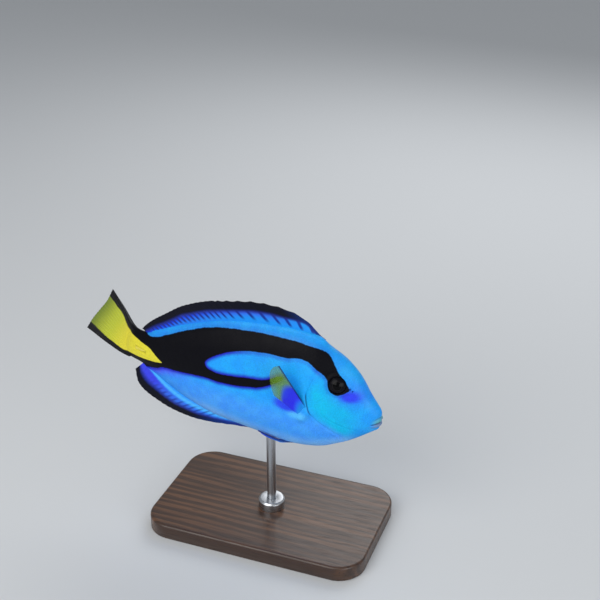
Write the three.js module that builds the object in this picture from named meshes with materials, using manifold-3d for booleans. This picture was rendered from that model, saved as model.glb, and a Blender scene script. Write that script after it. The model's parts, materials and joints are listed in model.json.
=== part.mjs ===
// Regal blue tang, life size, held in mid-swim on a plain display stand.
// Millimetres, +Z up. The head points to +X, the right flank faces -Y and the tail turns to +Y.
// The origin is the middle of the underside of the stand's base.
import * as THREE from "three";
import { mergeVertices } from "three/addons/utils/BufferGeometryUtils.js";
import Module from "manifold-3d";

// Driving dimensions. Lengths on the fish are shares of its standard length, from the snout to the
// root of the tail fin: "s" runs back from the snout, "z" up from the snout's level.
const STANDARD_LENGTH = 150;
const GAP = 0.3;
const NOSE_DOWN = THREE.MathUtils.degToRad(4.9);

// The body's outline: its back, its belly, its half width and the level where it is widest.
const BODY_END = 1.05;
const BODY_STATIONS = [
  { s: 0, back: 0.002, belly: -0.03, half: 0.004, widest: -0.014 },
  { s: 0.005, back: 0.023, belly: -0.055, half: 0.015, widest: -0.014 },
  { s: 0.02, back: 0.042, belly: -0.069, half: 0.028, widest: -0.012 },
  { s: 0.05, back: 0.079, belly: -0.094, half: 0.041, widest: -0.006 },
  { s: 0.1, back: 0.148, belly: -0.133, half: 0.056, widest: 0 },
  { s: 0.15, back: 0.19, belly: -0.164, half: 0.068, widest: 0.004 },
  { s: 0.2, back: 0.2165, belly: -0.191, half: 0.077, widest: 0.004 },
  { s: 0.26, back: 0.2455, belly: -0.207, half: 0.084, widest: 0 },
  { s: 0.35, back: 0.252, belly: -0.214, half: 0.087, widest: -0.006 },
  { s: 0.45, back: 0.243, belly: -0.204, half: 0.085, widest: -0.008 },
  { s: 0.55, back: 0.227, belly: -0.195, half: 0.078, widest: -0.006 },
  { s: 0.65, back: 0.199, belly: -0.182, half: 0.067, widest: -0.004 },
  { s: 0.75, back: 0.158, belly: -0.152, half: 0.053, widest: -0.002 },
  { s: 0.83, back: 0.119, belly: -0.116, half: 0.042, widest: 0 },
  { s: 0.9, back: 0.084, belly: -0.079, half: 0.032, widest: 0 },
  { s: 0.95, back: 0.065, belly: -0.063, half: 0.026, widest: 0 },
  { s: 1, back: 0.058, belly: -0.061, half: 0.021, widest: 0 },
  { s: BODY_END, back: 0.054, belly: -0.059, half: 0.004, widest: 0 },
];
const FLANK_ROUNDNESS = 1.1;
const BODY_SIDES = 36;
// Where the body's rings stand: by the square root of s at the nose, then by s.
const NOSE_RINGS = { from: 0.025, to: 0.2, step: 0.022 };
const BODY_RINGS = [
  { from: 0.048, to: 0.29, step: 0.0125 },
  { from: 0.3, to: 0.995, step: 0.03 },
  { from: 1, to: BODY_END + 0.001, step: 0.0125 },
];
const END_CAP = 0.1;

// The turn of the tail: the centre line turns and the sections roll along these stretches.
const TURNS = [
  { from: 0.5, to: 0.95, angle: THREE.MathUtils.degToRad(3) },
  { from: 0.86, to: 1.1, angle: THREE.MathUtils.degToRad(37) },
];
const ROLL = { from: 0.86, to: 1.2, angle: THREE.MathUtils.degToRad(32) };
const CENTRE_LINE_STEPS = 600;
const CENTRE_LINE_END = 1.5;

// The head: where the gill cover ends, the mouth, the nostrils and the eyes.
const GILL_EDGE = [
  [0.2, 0.3],
  [0.203, 0.215],
  [0.222, 0.165],
  [0.248, 0.105],
  [0.258, 0.061],
  [0.252, 0.02],
  [0.239, -0.01],
  [0.22, -0.034],
  [0.19, -0.057],
  [0.152, -0.083],
  [0.12, -0.115],
  [0.1, -0.2],
];
const GILL_EDGE_POINTS = 32;
const GILL_COVER = { rise: 0.0035, fade: 0.03, top: 0.8 };
const STALK_START = 0.907;
const MOUTH = { s: 0.03, frontZ: -0.0225, cornerZ: -0.034, opening: 0.5, flare: 1.4, bendAt: 0.6 };
const LIP = { offset: 0.0105, width: 0.0065, rise: 0.005, reach: 0.036 };
const NOSTRILS = [
  { s: 0.103, z: 0.094, radius: 0.55 },
  { s: 0.113, z: 0.1, radius: 0.75 },
];
const NOSTRIL_HOLE = { depth: 1.1, taper: 0.7, sides: 8 };
const EYE = { s: 0.157, z: 0.1105, radius: 4.8, depth: 2.4, sunk: 1 };
const ORBIT = { radius: 0.037, width: 0.008, rise: 0.0032 };

// The fins: root line, outer edge, rays and thickness in millimetres. A spacing curve sets where the
// rays stand along the root: the spines in front far apart, the soft rays behind them close together.
// A lean curve sets how far each ray runs back on its way to the edge.
const RIDGE_SPREAD = 0.27;
const RIDGE_LOSS = 0.65;
const MEMBRANE_THIN_AT = 0.8;
const DORSAL_FIN = {
  rays: 28,
  rows: 4,
  root: { from: 0.227, to: 0.9, sunk: 0.024 },
  lean: [
    [0, 0.008],
    [0.2, 0.1],
    [0.55, 0.106],
    [0.78, 0.092],
    [1, 0.054],
  ],
  spacing: [
    [0, 0],
    [0.148, 0.21],
    [0.296, 0.46],
    [0.444, 0.6],
    [0.556, 0.69],
    [1, 1],
  ],
  edge: [
    [0.235, 0.2395],
    [0.255, 0.2515],
    [0.275, 0.2675],
    [0.3, 0.287],
    [0.325, 0.301],
    [0.36, 0.3135],
    [0.42, 0.323],
    [0.48, 0.324],
    [0.53, 0.3188],
    [0.6, 0.3018],
    [0.67, 0.2795],
    [0.72, 0.258],
    [0.76, 0.2375],
    [0.8, 0.2145],
    [0.85, 0.176],
    [0.9, 0.136],
    [0.935, 0.1],
    [0.953, 0.077],
  ],
  thickness: { root: 1.9, edge: 0.55 },
  ridge: 0.34,
  sway: { height: 1.1, waves: 1.6, start: 0.2 },
};
const ANAL_FIN = {
  rays: 21,
  rows: 4,
  root: { from: 0.455, to: 0.925, sunk: 0.022 },
  lean: [
    [0, 0.015],
    [0.2, 0.09],
    [0.5, 0.118],
    [0.75, 0.112],
    [1, 0.043],
  ],
  spacing: [
    [0, 0],
    [0.3, 0.36],
    [1, 1],
  ],
  edge: [
    [0.47, -0.2035],
    [0.55, -0.2145],
    [0.65, -0.232],
    [0.74, -0.242],
    [0.83, -0.232],
    [0.9, -0.199],
    [0.95, -0.15],
    [0.968, -0.1],
  ],
  thickness: { root: 1.8, edge: 0.55 },
  ridge: 0.34,
  sway: { height: 0.9, waves: 1.3, start: 0.6 },
};
const CAUDAL_FIN = {
  rays: 16,
  rows: 6,
  root: { s: 0.995, high: 0.049, low: -0.059 },
  edge: [
    [0, 1.33, -0.119],
    [0.25, 1.333, -0.074],
    [0.5, 1.319, -0.024],
    [0.75, 1.299, 0.027],
    [1, 1.297, 0.078],
  ],
  thickness: { root: 3.6, edge: 0.6 },
  ridge: 0.42,
  sway: { height: 1.2, waves: 0.5, start: 0.1 },
};
const PECTORAL_FIN = {
  rays: 12,
  rows: 4,
  rootTop: { s: 0.247, z: -0.014 },
  rootBottom: { s: 0.27, z: -0.046 },
  sunk: 1.6,
  leading: { back: 0.42, out: 0.3, up: 0.85 },
  trailing: { back: 0.6, out: 0.42, up: 0.67 },
  length: [
    [0, 0.23],
    [0.2, 0.24],
    [0.4, 0.233],
    [0.7, 0.192],
    [1, 0.146],
  ],
  thickness: { root: 2.2, edge: 0.6 },
  ridge: 0.3,
};
const PELVIC_FIN = {
  rays: 4,
  rows: 6,
  outer: { s: 0.288, side: 0.024, tipS: 0.436, tipSide: 0.05 },
  inner: { s: 0.316, side: 0.01, tipS: 0.402, tipSide: 0.028 },
  sunk: 1.2,
  rootShare: 0.5,
  lift: 1,
  flare: 0.35,
  thickness: { root: 1.5, edge: 0.7 },
  ridge: 0.35,
};
const TAIL_SPINE = { s: 0.965, z: 0, length: 7, height: 2.2, thickness: 1.9, sunk: 0.3 };

// The stand: a flat base with one rod up to the belly, and the collar that holds the rod.
const BASE = { length: 128, width: 78, height: 9, corner: 14, bevel: 1.5 };
const ROD = { s: 0.405, radius: 2.6, sides: 24, overlap: 8 };
const COLLAR = { radius: 7.5, height: 5.5, bevel: 1 };
const BELLY_HEIGHT = 58;

// Materials.
const COLOURS = {
  blue: new THREE.MeshStandardMaterial({ color: 0x1f8ff5, roughness: 0.4, metalness: 0 }),
  fin: new THREE.MeshStandardMaterial({ color: 0x3a62e8, roughness: 0.45, metalness: 0 }),
  yellow: new THREE.MeshStandardMaterial({ color: 0xe8dc2c, roughness: 0.45, metalness: 0 }),
  eye: new THREE.MeshStandardMaterial({ color: 0x0c0d12, roughness: 0.1, metalness: 0 }),
  spine: new THREE.MeshStandardMaterial({ color: 0xe9dfae, roughness: 0.4, metalness: 0 }),
  base: new THREE.MeshStandardMaterial({ color: 0x2c2d30, roughness: 0.5, metalness: 0 }),
  steel: new THREE.MeshStandardMaterial({ color: 0xc4c7ca, roughness: 0.3, metalness: 1 }),
};

const wasm = await Module();
wasm.setup();

// A smooth curve y(x) through a few points, with the slopes of their neighbours.
function curveThrough(points) {
  const last = points.length - 1;
  const slope = points.map((_, i) => {
    const before = points[Math.max(i - 1, 0)];
    const after = points[Math.min(i + 1, last)];
    return (after[1] - before[1]) / (after[0] - before[0]);
  });
  return (x) => {
    let i = 0;
    while (i < last - 1 && x > points[i + 1][0]) i++;
    const [x0, y0] = points[i];
    const [x1, y1] = points[i + 1];
    const h = x1 - x0;
    const t = THREE.MathUtils.clamp((x - x0) / h, 0, 1);
    const bend = (1 + 2 * t) * (1 - t) * (1 - t) * y0 + t * t * (3 - 2 * t) * y1;
    return bend + t * (1 - t) * (1 - t) * h * slope[i] - t * t * (1 - t) * h * slope[i + 1];
  };
}

// The outline curves run on the square root of s, so that the snout is blunt and round.
const outlineOf = (key) => {
  const curve = curveThrough(BODY_STATIONS.map((station) => [Math.sqrt(station.s), station[key]]));
  return (s) => curve(Math.sqrt(Math.max(s, 0)));
};
const back = outlineOf("back");
const belly = outlineOf("belly");
const halfWidth = outlineOf("half");
const widestLevel = outlineOf("widest");

// The gill cover's edge as points of one smooth curve, from the nape down to the throat.
const gillCurve = new THREE.SplineCurve(GILL_EDGE.map(([s, z]) => new THREE.Vector2(s, z)));
const gillPoints = gillCurve.getPoints(GILL_EDGE_POINTS);

function distanceToGillEdge(s, z) {
  let nearest = Infinity;
  let ahead = 1;
  for (let i = 0; i < gillPoints.length - 1; i++) {
    const a = gillPoints[i];
    const b = gillPoints[i + 1];
    const along = new THREE.Vector2().subVectors(b, a);
    const from = new THREE.Vector2(s - a.x, z - a.y);
    const t = THREE.MathUtils.clamp(from.dot(along) / along.lengthSq(), 0, 1);
    const distance = from.clone().addScaledVector(along, -t).length();
    if (distance < nearest) {
      nearest = distance;
      ahead = along.cross(from) < 0 ? 1 : -1;
    }
  }
  return ahead * nearest;
}

const bump = (distance, width) => Math.exp(-(distance * distance) / (width * width));

// How far the skin stands out of the plain outline: lips, eye rims and the gill cover.
function relief(s, z) {
  const mouthZ = THREE.MathUtils.lerp(MOUTH.frontZ, MOUTH.cornerZ, Math.min(s / MOUTH.s, 1));
  const lipFade = 1 - THREE.MathUtils.smoothstep(s, LIP.reach * 0.5, LIP.reach);
  const lips = LIP.rise * lipFade * bump(Math.abs(z - mouthZ) - LIP.offset, LIP.width);
  const orbit = ORBIT.rise * bump(Math.hypot(s - EYE.s, z - EYE.z) - ORBIT.radius, ORBIT.width);
  const toEdge = distanceToGillEdge(s, z);
  const covered = toEdge > 0 && z < back(s) * GILL_COVER.top;
  const cover = covered ? GILL_COVER.rise * Math.exp(-toEdge / GILL_COVER.fade) : 0;
  return lips + orbit + cover;
}

// A point of the skin at station s and angle round the section, in the straight fish's own frame:
// x runs forward from the snout, so it is negative along the body. grow moves the skin outwards.
function plainSkinPoint(s, angle, grow) {
  const up = Math.sin(angle);
  const level = widestLevel(s);
  const side = Math.cos(angle);
  const height = up > 0 ? back(s) - level : level - belly(s);
  const width = halfWidth(s) * Math.pow(Math.abs(side), FLANK_ROUNDNESS) * Math.sign(side);
  return new THREE.Vector3(
    -s * STANDARD_LENGTH,
    width * STANDARD_LENGTH + grow * side,
    (level + height * up) * STANDARD_LENGTH + grow * up,
  );
}

function skinPoint(s, angle, grow) {
  const point = plainSkinPoint(s, angle, grow);
  const rise = relief(s, point.z / STANDARD_LENGTH) * STANDARD_LENGTH;
  const forward = s < LIP.reach ? (1 - s / LIP.reach) * rise : 0;
  point.x += forward;
  point.y += rise * Math.cos(angle);
  point.z += rise * Math.sin(angle) * 0.5;
  return point;
}

// The half width of the body at a level, used to root the eyes, fins and spines on the flank.
function flankAt(s, z) {
  const level = widestLevel(s);
  const share = z > level ? (z - level) / (back(s) - level) : (level - z) / (level - belly(s));
  return halfWidth(s) * Math.pow(Math.max(1 - share * share, 0), FLANK_ROUNDNESS / 2);
}

function flankNormal(s, z, side) {
  const step = 0.004;
  const alongS = (flankAt(s + step, z) - flankAt(s - step, z)) / (2 * step);
  const alongZ = (flankAt(s, z + step) - flankAt(s, z - step)) / (2 * step);
  return new THREE.Vector3(alongS, side, -alongZ).normalize();
}

const flankPoint = (s, z, side) =>
  new THREE.Vector3(-s, side * flankAt(s, z), z).multiplyScalar(STANDARD_LENGTH);

// The bent centre line, integrated once in small steps.
const turnAt = (s) =>
  TURNS.reduce((sum, turn) => sum + turn.angle * THREE.MathUtils.smoothstep(s, turn.from, turn.to), 0);
const centreLine = [new THREE.Vector2(0, 0)];
const centreStep = CENTRE_LINE_END / CENTRE_LINE_STEPS;
for (let i = 0; i < CENTRE_LINE_STEPS; i++) {
  const angle = turnAt((i + 0.5) * centreStep);
  const next = centreLine[i].clone();
  next.x -= Math.cos(angle) * centreStep;
  next.y += Math.sin(angle) * centreStep;
  centreLine.push(next);
}

// Moves a point of the straight fish to its place on the bent one.
function bendPoint(point) {
  const s = -point.x / STANDARD_LENGTH;
  if (s <= 0) return point;
  const index = Math.min(Math.floor(s / centreStep), CENTRE_LINE_STEPS - 1);
  const centre = centreLine[index].clone().lerp(centreLine[index + 1], s / centreStep - index);
  const turn = turnAt(s);
  const roll = ROLL.angle * THREE.MathUtils.smoothstep(s, ROLL.from, ROLL.to);
  const side = point.y * Math.cos(roll) + point.z * Math.sin(roll);
  const up = point.z * Math.cos(roll) - point.y * Math.sin(roll);
  return point.set(
    centre.x * STANDARD_LENGTH + side * Math.sin(turn),
    centre.y * STANDARD_LENGTH + side * Math.cos(turn),
    up,
  );
}

// Solids: closed meshes for joining and cutting.
const SLAB_DEPTH = 100;

function toSolid(geometry) {
  const bare = new THREE.BufferGeometry().setAttribute("position", geometry.getAttribute("position").clone());
  if (geometry.index) bare.setIndex(geometry.index.clone());
  const merged = mergeVertices(bare, 1e-4);
  return new wasm.Manifold(
    new wasm.Mesh({
      numProp: 3,
      vertProperties: merged.attributes.position.array,
      triVerts: new Uint32Array(merged.index.array),
    }),
  );
}

function toGeometry(solid) {
  const mesh = solid.getMesh();
  return new THREE.BufferGeometry()
    .setAttribute("position", new THREE.BufferAttribute(new Float32Array(mesh.vertProperties), 3))
    .setIndex(new THREE.BufferAttribute(new Uint32Array(mesh.triVerts), 1));
}

const largestPiece = (solid) => solid.decompose().reduce((a, b) => (b.volume() > a.volume() ? b : a));

function bent(solid) {
  const geometry = toGeometry(largestPiece(solid));
  const position = geometry.attributes.position;
  const point = new THREE.Vector3();
  for (let i = 0; i < position.count; i++) {
    bendPoint(point.fromBufferAttribute(position, i));
    position.setXYZ(i, point.x, point.y, point.z);
  }
  return geometry;
}

// A closed tube of rings with one point at each end.
function ringSolid(rings, firstPoint, lastPoint) {
  const sides = rings[0].length;
  const points = [firstPoint, ...rings.flat(), lastPoint];
  const index = [];
  const at = (ring, side) => 1 + ring * sides + (side % sides);
  for (let side = 0; side < sides; side++) {
    index.push(0, at(0, side), at(0, side + 1));
    index.push(points.length - 1, at(rings.length - 1, side + 1), at(rings.length - 1, side));
    for (let ring = 0; ring < rings.length - 1; ring++) {
      index.push(at(ring, side), at(ring + 1, side), at(ring + 1, side + 1));
      index.push(at(ring, side), at(ring + 1, side + 1), at(ring, side + 1));
    }
  }
  return new THREE.BufferGeometry().setFromPoints(points).setIndex(index);
}

// A thin plate of rows from root to edge and columns along the fin, split alike on both faces.
// middle(t, r) is the plate's middle, across(t, r) the unit vector through it and half(t, r, column)
// half its thickness.
function plateSolid(columns, rows, middle, across, half) {
  const points = [];
  for (const face of [-1, 1])
    for (let j = 0; j < columns.length; j++)
      for (let i = 0; i <= rows; i++) {
        const { t } = columns[j];
        const r = i / rows;
        points.push(middle(t, r).addScaledVector(across(t, r), face * half(t, r, columns[j])));
      }
  const width = columns.length;
  const at = (face, j, i) => (face * width + j) * (rows + 1) + i;
  const index = [];
  const quad = (a, b, c, d) => index.push(a, b, c, a, c, d);
  for (let j = 0; j < width - 1; j++)
    for (let i = 0; i < rows; i++) {
      index.push(at(0, j, i), at(0, j + 1, i + 1), at(0, j + 1, i));
      index.push(at(0, j, i), at(0, j, i + 1), at(0, j + 1, i + 1));
      index.push(at(1, j, i), at(1, j + 1, i), at(1, j + 1, i + 1));
      index.push(at(1, j, i), at(1, j + 1, i + 1), at(1, j, i + 1));
    }
  for (let j = 0; j < width - 1; j++) {
    quad(at(0, j, 0), at(0, j + 1, 0), at(1, j + 1, 0), at(1, j, 0));
    quad(at(0, j + 1, rows), at(0, j, rows), at(1, j, rows), at(1, j + 1, rows));
  }
  for (let i = 0; i < rows; i++) {
    quad(at(0, 0, i + 1), at(0, 0, i), at(1, 0, i), at(1, 0, i + 1));
    quad(at(0, width - 1, i), at(0, width - 1, i + 1), at(1, width - 1, i + 1), at(1, width - 1, i));
  }
  const geometry = new THREE.BufferGeometry().setFromPoints(points).setIndex(index);
  const solid = toSolid(geometry);
  if (solid.volume() > 0) return solid;
  geometry.setIndex(index.map((_, k) => index[k - (k % 3) + [0, 2, 1][k % 3]]));
  return toSolid(geometry);
}

// Columns for a fin: each ray has its crest, with the membrane's level at either side of it.
function rayColumns(rays, spacing = (share) => share) {
  const columns = [];
  for (let ray = 0; ray < rays; ray++)
    for (const offset of [-RIDGE_SPREAD, 0, RIDGE_SPREAD]) {
      const share = (ray + offset) / (rays - 1);
      if (share >= 0 && share <= 1) columns.push({ t: spacing(share), crest: offset === 0 });
    }
  return columns;
}

// Half the thickness of a fin: it thins to its edge, and rays stand above the membrane.
function finHalf(fin) {
  return (t, r, column) => {
    const thinned = Math.min(r / MEMBRANE_THIN_AT, 1);
    const membrane = THREE.MathUtils.lerp(fin.thickness.root, fin.thickness.edge, thinned) / 2;
    return membrane + (column.crest ? fin.ridge * (1 - RIDGE_LOSS * r) : 0);
  };
}

// The body.
function ringStations() {
  const stations = [];
  for (let root = NOSE_RINGS.from; root < NOSE_RINGS.to; root += NOSE_RINGS.step) stations.push(root * root);
  for (const { from, to, step } of BODY_RINGS) for (let s = from; s < to; s += step) stations.push(s);
  return stations;
}

function bodySolid(grow) {
  const rings = ringStations().map((s) =>
    Array.from({ length: BODY_SIDES }, (_, k) => skinPoint(s, (k / BODY_SIDES) * 2 * Math.PI, grow)),
  );
  const nose = new THREE.Vector3(grow + END_CAP, 0, STANDARD_LENGTH * widestLevel(0));
  const end = new THREE.Vector3(-BODY_END * STANDARD_LENGTH - grow - END_CAP, 0, 0);
  const solid = toSolid(ringSolid(rings, nose, end));
  return solid.volume() > 0 ? solid : toSolid(ringSolid(rings.map((ring) => [...ring].reverse()), nose, end));
}

// A slab through the whole body whose outline is a closed loop in the plane of s and z.
function slabThrough(outline) {
  const corners = outline.map(([s, z]) => new THREE.Vector2(-s, z).multiplyScalar(STANDARD_LENGTH));
  const sheet = { depth: SLAB_DEPTH, bevelEnabled: false, steps: 1 };
  const slab = new THREE.ExtrudeGeometry(new THREE.Shape(corners), sheet);
  slab.translate(0, 0, -SLAB_DEPTH / 2);
  slab.rotateX(Math.PI / 2);
  return toSolid(slab);
}

// All that lies ahead of the gill cover's edge, with the edge moved back by offset.
function aheadOfGills(offset) {
  const shift = offset / STANDARD_LENGTH;
  const edge = gillPoints.map((point, i) => {
    const before = gillPoints[Math.max(i - 1, 0)];
    const after = gillPoints[Math.min(i + 1, gillPoints.length - 1)];
    const along = new THREE.Vector2().subVectors(after, before).normalize();
    return [point.x - along.y * shift, point.y + along.x * shift];
  });
  return slabThrough([[-0.2, 0.3], ...edge, [-0.2, -0.2]]);
}

const behind = (s) => slabThrough([[s, 0.4], [2, 0.4], [2, -0.4], [s, -0.4]]);

function mouthCut() {
  const half = MOUTH.opening / 2 / STANDARD_LENGTH;
  const bendS = MOUTH.s * MOUTH.bendAt;
  const bendZ = THREE.MathUtils.lerp(MOUTH.frontZ, MOUTH.cornerZ, MOUTH.bendAt);
  return slabThrough([
    [-0.05, MOUTH.frontZ + half * MOUTH.flare],
    [bendS, bendZ + half],
    [MOUTH.s, MOUTH.cornerZ],
    [bendS, bendZ - half],
    [-0.05, MOUTH.frontZ - half * MOUTH.flare],
  ]);
}

// A geometry made round +Z, stood on the flank with +Z along the skin's normal.
function onFlank(geometry, s, z, side, lift) {
  const normal = flankNormal(s, z, side);
  const turned = new THREE.Quaternion().setFromUnitVectors(new THREE.Vector3(0, 0, 1), normal);
  const place = flankPoint(s, z, side).addScaledVector(normal, lift);
  return geometry.applyMatrix4(new THREE.Matrix4().compose(place, turned, new THREE.Vector3(1, 1, 1)));
}

function eyeSolid(side, grow) {
  const ball = new THREE.SphereGeometry(1, 16, 10);
  ball.rotateX(Math.PI / 2);
  ball.scale(EYE.radius + grow, EYE.radius + grow, EYE.depth + grow);
  return toSolid(onFlank(ball, EYE.s, EYE.z, side, -EYE.sunk));
}

function nostrilCut(nostril, side) {
  const { depth, taper, sides } = NOSTRIL_HOLE;
  const hole = new THREE.CylinderGeometry(nostril.radius, nostril.radius * taper, depth * 2, sides);
  hole.rotateX(Math.PI / 2);
  return toSolid(onFlank(hole, nostril.s, nostril.z, side, 0));
}

// The caudal spine: a flat lancet lying in its groove with its point forward.
function tailSpineSolid(side, grow) {
  const { length, height, thickness } = TAIL_SPINE;
  const blade = new THREE.ConeGeometry(1, 1, 10, 3);
  blade.translate(0, 0.5, 0);
  blade.rotateZ(-Math.PI / 2);
  blade.scale(length + 2 * grow, height / 2 + grow, thickness / 2 + grow);
  blade.translate(-grow, 0, 0);
  if (side < 0) blade.rotateX(Math.PI);
  return toSolid(onFlank(blade, TAIL_SPINE.s, TAIL_SPINE.z, side, -TAIL_SPINE.sunk));
}

// Fins on the middle line, the dorsal and the anal one.
function medianFin(fin, outline, upward) {
  const edge = curveThrough(fin.edge);
  const rootAt = (t) => THREE.MathUtils.lerp(fin.root.from, fin.root.to, t);
  const lean = curveThrough(fin.lean);
  const middle = (t, r) => {
    const s0 = rootAt(t);
    const s1 = s0 + lean(t);
    const z0 = outline(s0) - upward * fin.root.sunk;
    const sway = fin.sway.height * r * r * Math.sin(2 * Math.PI * (fin.sway.waves * t + fin.sway.start));
    const s = THREE.MathUtils.lerp(s0, s1, r);
    const z = THREE.MathUtils.lerp(z0, edge(s1), r);
    return new THREE.Vector3(-s * STANDARD_LENGTH, sway, z * STANDARD_LENGTH);
  };
  const across = () => new THREE.Vector3(0, 1, 0);
  return plateSolid(rayColumns(fin.rays, curveThrough(fin.spacing)), fin.rows, middle, across, finHalf(fin));
}

function caudalFin() {
  const fin = CAUDAL_FIN;
  const edgeS = curveThrough(fin.edge.map(([t, s]) => [t, s]));
  const edgeZ = curveThrough(fin.edge.map(([t, , z]) => [t, z]));
  const middle = (t, r) => {
    const z0 = THREE.MathUtils.lerp(fin.root.low, fin.root.high, t);
    const s = THREE.MathUtils.lerp(fin.root.s, edgeS(t), r);
    const z = THREE.MathUtils.lerp(z0, edgeZ(t), r);
    const sway = fin.sway.height * r * r * Math.sin(2 * Math.PI * (fin.sway.waves * t + fin.sway.start));
    return new THREE.Vector3(-s * STANDARD_LENGTH, sway, z * STANDARD_LENGTH);
  };
  const across = () => new THREE.Vector3(0, 1, 0);
  return plateSolid(rayColumns(fin.rays), fin.rows, middle, across, finHalf(fin));
}

// Paired fins: rays fan out from a short root on the flank or the belly.
function pectoralFin(side) {
  const fin = PECTORAL_FIN;
  const direction = (ray) => new THREE.Vector3(-ray.back, side * ray.out, ray.up).normalize();
  const first = direction(fin.leading);
  const last = direction(fin.trailing);
  const rayAt = (t) => first.clone().lerp(last, t).normalize();
  const lengthAt = curveThrough(fin.length);
  const rootAt = (t) => {
    const s = THREE.MathUtils.lerp(fin.rootTop.s, fin.rootBottom.s, t);
    const z = THREE.MathUtils.lerp(fin.rootTop.z, fin.rootBottom.z, t);
    return flankPoint(s, z, side).addScaledVector(flankNormal(s, z, side), -fin.sunk);
  };
  const middle = (t, r) => rootAt(t).addScaledVector(rayAt(t), r * lengthAt(t) * STANDARD_LENGTH);
  const across = new THREE.Vector3().crossVectors(first, last).normalize();
  return plateSolid(rayColumns(fin.rays), fin.rows, middle, () => across, finHalf(fin));
}

// The level of the belly's skin at a station and a distance from the middle line.
function bellyLevel(s, distance) {
  const share = Math.min(distance / halfWidth(s), 1);
  const fall = Math.sqrt(Math.max(1 - Math.pow(share, 2 / FLANK_ROUNDNESS), 0));
  return widestLevel(s) - (widestLevel(s) - belly(s)) * fall;
}

function bellyNormal(s, distance, side) {
  const step = 0.003;
  const slope = (bellyLevel(s, distance + step) - bellyLevel(s, distance - step)) / (2 * step);
  return new THREE.Vector3(0, side * slope, -1).normalize();
}

// The pelvic fins lie folded along the belly, to either side of its keel.
function pelvicFin(side) {
  const { lerp, smoothstep } = THREE.MathUtils;
  const fin = PELVIC_FIN;
  const placeAt = (t, r) => ({
    s: lerp(lerp(fin.outer.s, fin.inner.s, t), lerp(fin.outer.tipS, fin.inner.tipS, t), r),
    distance: lerp(lerp(fin.outer.side, fin.inner.side, t), lerp(fin.outer.tipSide, fin.inner.tipSide, t), r),
  });
  const middle = (t, r) => {
    const { s, distance } = placeAt(t, r);
    const lift = lerp(-fin.sunk, fin.lift, smoothstep(r, 0, fin.rootShare)) + fin.flare * r * r;
    const skin = new THREE.Vector3(-s, side * distance, bellyLevel(s, distance));
    return skin.multiplyScalar(STANDARD_LENGTH).addScaledVector(bellyNormal(s, distance, side), lift);
  };
  const across = (t, r) => {
    const { s, distance } = placeAt(t, r);
    return bellyNormal(s, distance, side);
  };
  return plateSolid(rayColumns(fin.rays), fin.rows, middle, across, finHalf(fin));
}

// The stand.
function baseGeometry() {
  const { length, width, height, corner, bevel } = BASE;
  const halfX = length / 2 - bevel;
  const halfY = width / 2 - bevel;
  const shape = new THREE.Shape();
  shape.moveTo(halfX - corner, -halfY);
  shape.absarc(halfX - corner, -halfY + corner, corner, -Math.PI / 2, 0);
  shape.absarc(halfX - corner, halfY - corner, corner, 0, Math.PI / 2);
  shape.absarc(-halfX + corner, halfY - corner, corner, Math.PI / 2, Math.PI);
  shape.absarc(-halfX + corner, -halfY + corner, corner, Math.PI, 1.5 * Math.PI);
  const slab = new THREE.ExtrudeGeometry(shape, {
    depth: height - 2 * bevel,
    bevelThickness: bevel,
    bevelSize: bevel,
    bevelSegments: 1,
    curveSegments: 5,
  });
  return slab.translate(0, 0, bevel);
}

function collarGeometry() {
  const inner = ROD.radius + GAP;
  const bottom = BASE.height + GAP;
  const top = bottom + COLLAR.height;
  const profile = [
    [inner, bottom],
    [COLLAR.radius, bottom],
    [COLLAR.radius, top - COLLAR.bevel],
    [COLLAR.radius - COLLAR.bevel, top],
    [inner, top],
    [inner, bottom],
  ];
  const ring = new THREE.LatheGeometry(profile.map(([r, z]) => new THREE.Vector2(r, z)), ROD.sides);
  return ring.rotateX(Math.PI / 2);
}

function rodSolid(bellyAbove) {
  const bottom = BASE.height + GAP;
  const top = BELLY_HEIGHT + ROD.overlap;
  const rod = new THREE.CylinderGeometry(ROD.radius, ROD.radius, top - bottom, ROD.sides);
  rod.rotateX(Math.PI / 2);
  rod.translate(0, 0, (top + bottom) / 2);
  return largestPiece(toSolid(rod).subtract(bellyAbove));
}

// Assembly: the fish is cut and parted straight, then bent, tilted and raised onto its rod.
const root = new THREE.Group();
const fish = new THREE.Group();
const rodBelly = new THREE.Vector3(-ROD.s * STANDARD_LENGTH, 0, belly(ROD.s) * STANDARD_LENGTH);
rodBelly.applyAxisAngle(new THREE.Vector3(0, 1, 0), NOSE_DOWN);
fish.rotation.y = NOSE_DOWN;
fish.position.set(-rodBelly.x, 0, BELLY_HEIGHT - rodBelly.z);
fish.updateMatrixWorld(true);
root.add(fish);

function addNode(parent, name, geometry, material) {
  const mesh = new THREE.Mesh(geometry, material.clone());
  mesh.name = name;
  parent.add(mesh);
}

const SIDES = [
  { name: "right", side: -1 },
  { name: "left", side: 1 },
];

const body = bodySolid(0);
const bodyWithGap = bodySolid(GAP);

let head = body.intersect(aheadOfGills(0)).subtract(mouthCut());
let tailStalk = body.intersect(behind(STALK_START + GAP / STANDARD_LENGTH));
const torso = body.subtract(aheadOfGills(GAP)).subtract(behind(STALK_START));
for (const { side } of SIDES) {
  head = head.subtract(eyeSolid(side, GAP));
  for (const nostril of NOSTRILS) head = head.subtract(nostrilCut(nostril, side));
  tailStalk = tailStalk.subtract(tailSpineSolid(side, GAP));
}
addNode(fish, "head", bent(head), COLOURS.blue);
addNode(fish, "torso", bent(torso), COLOURS.blue);
addNode(fish, "tail_stalk", bent(tailStalk), COLOURS.yellow);

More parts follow.
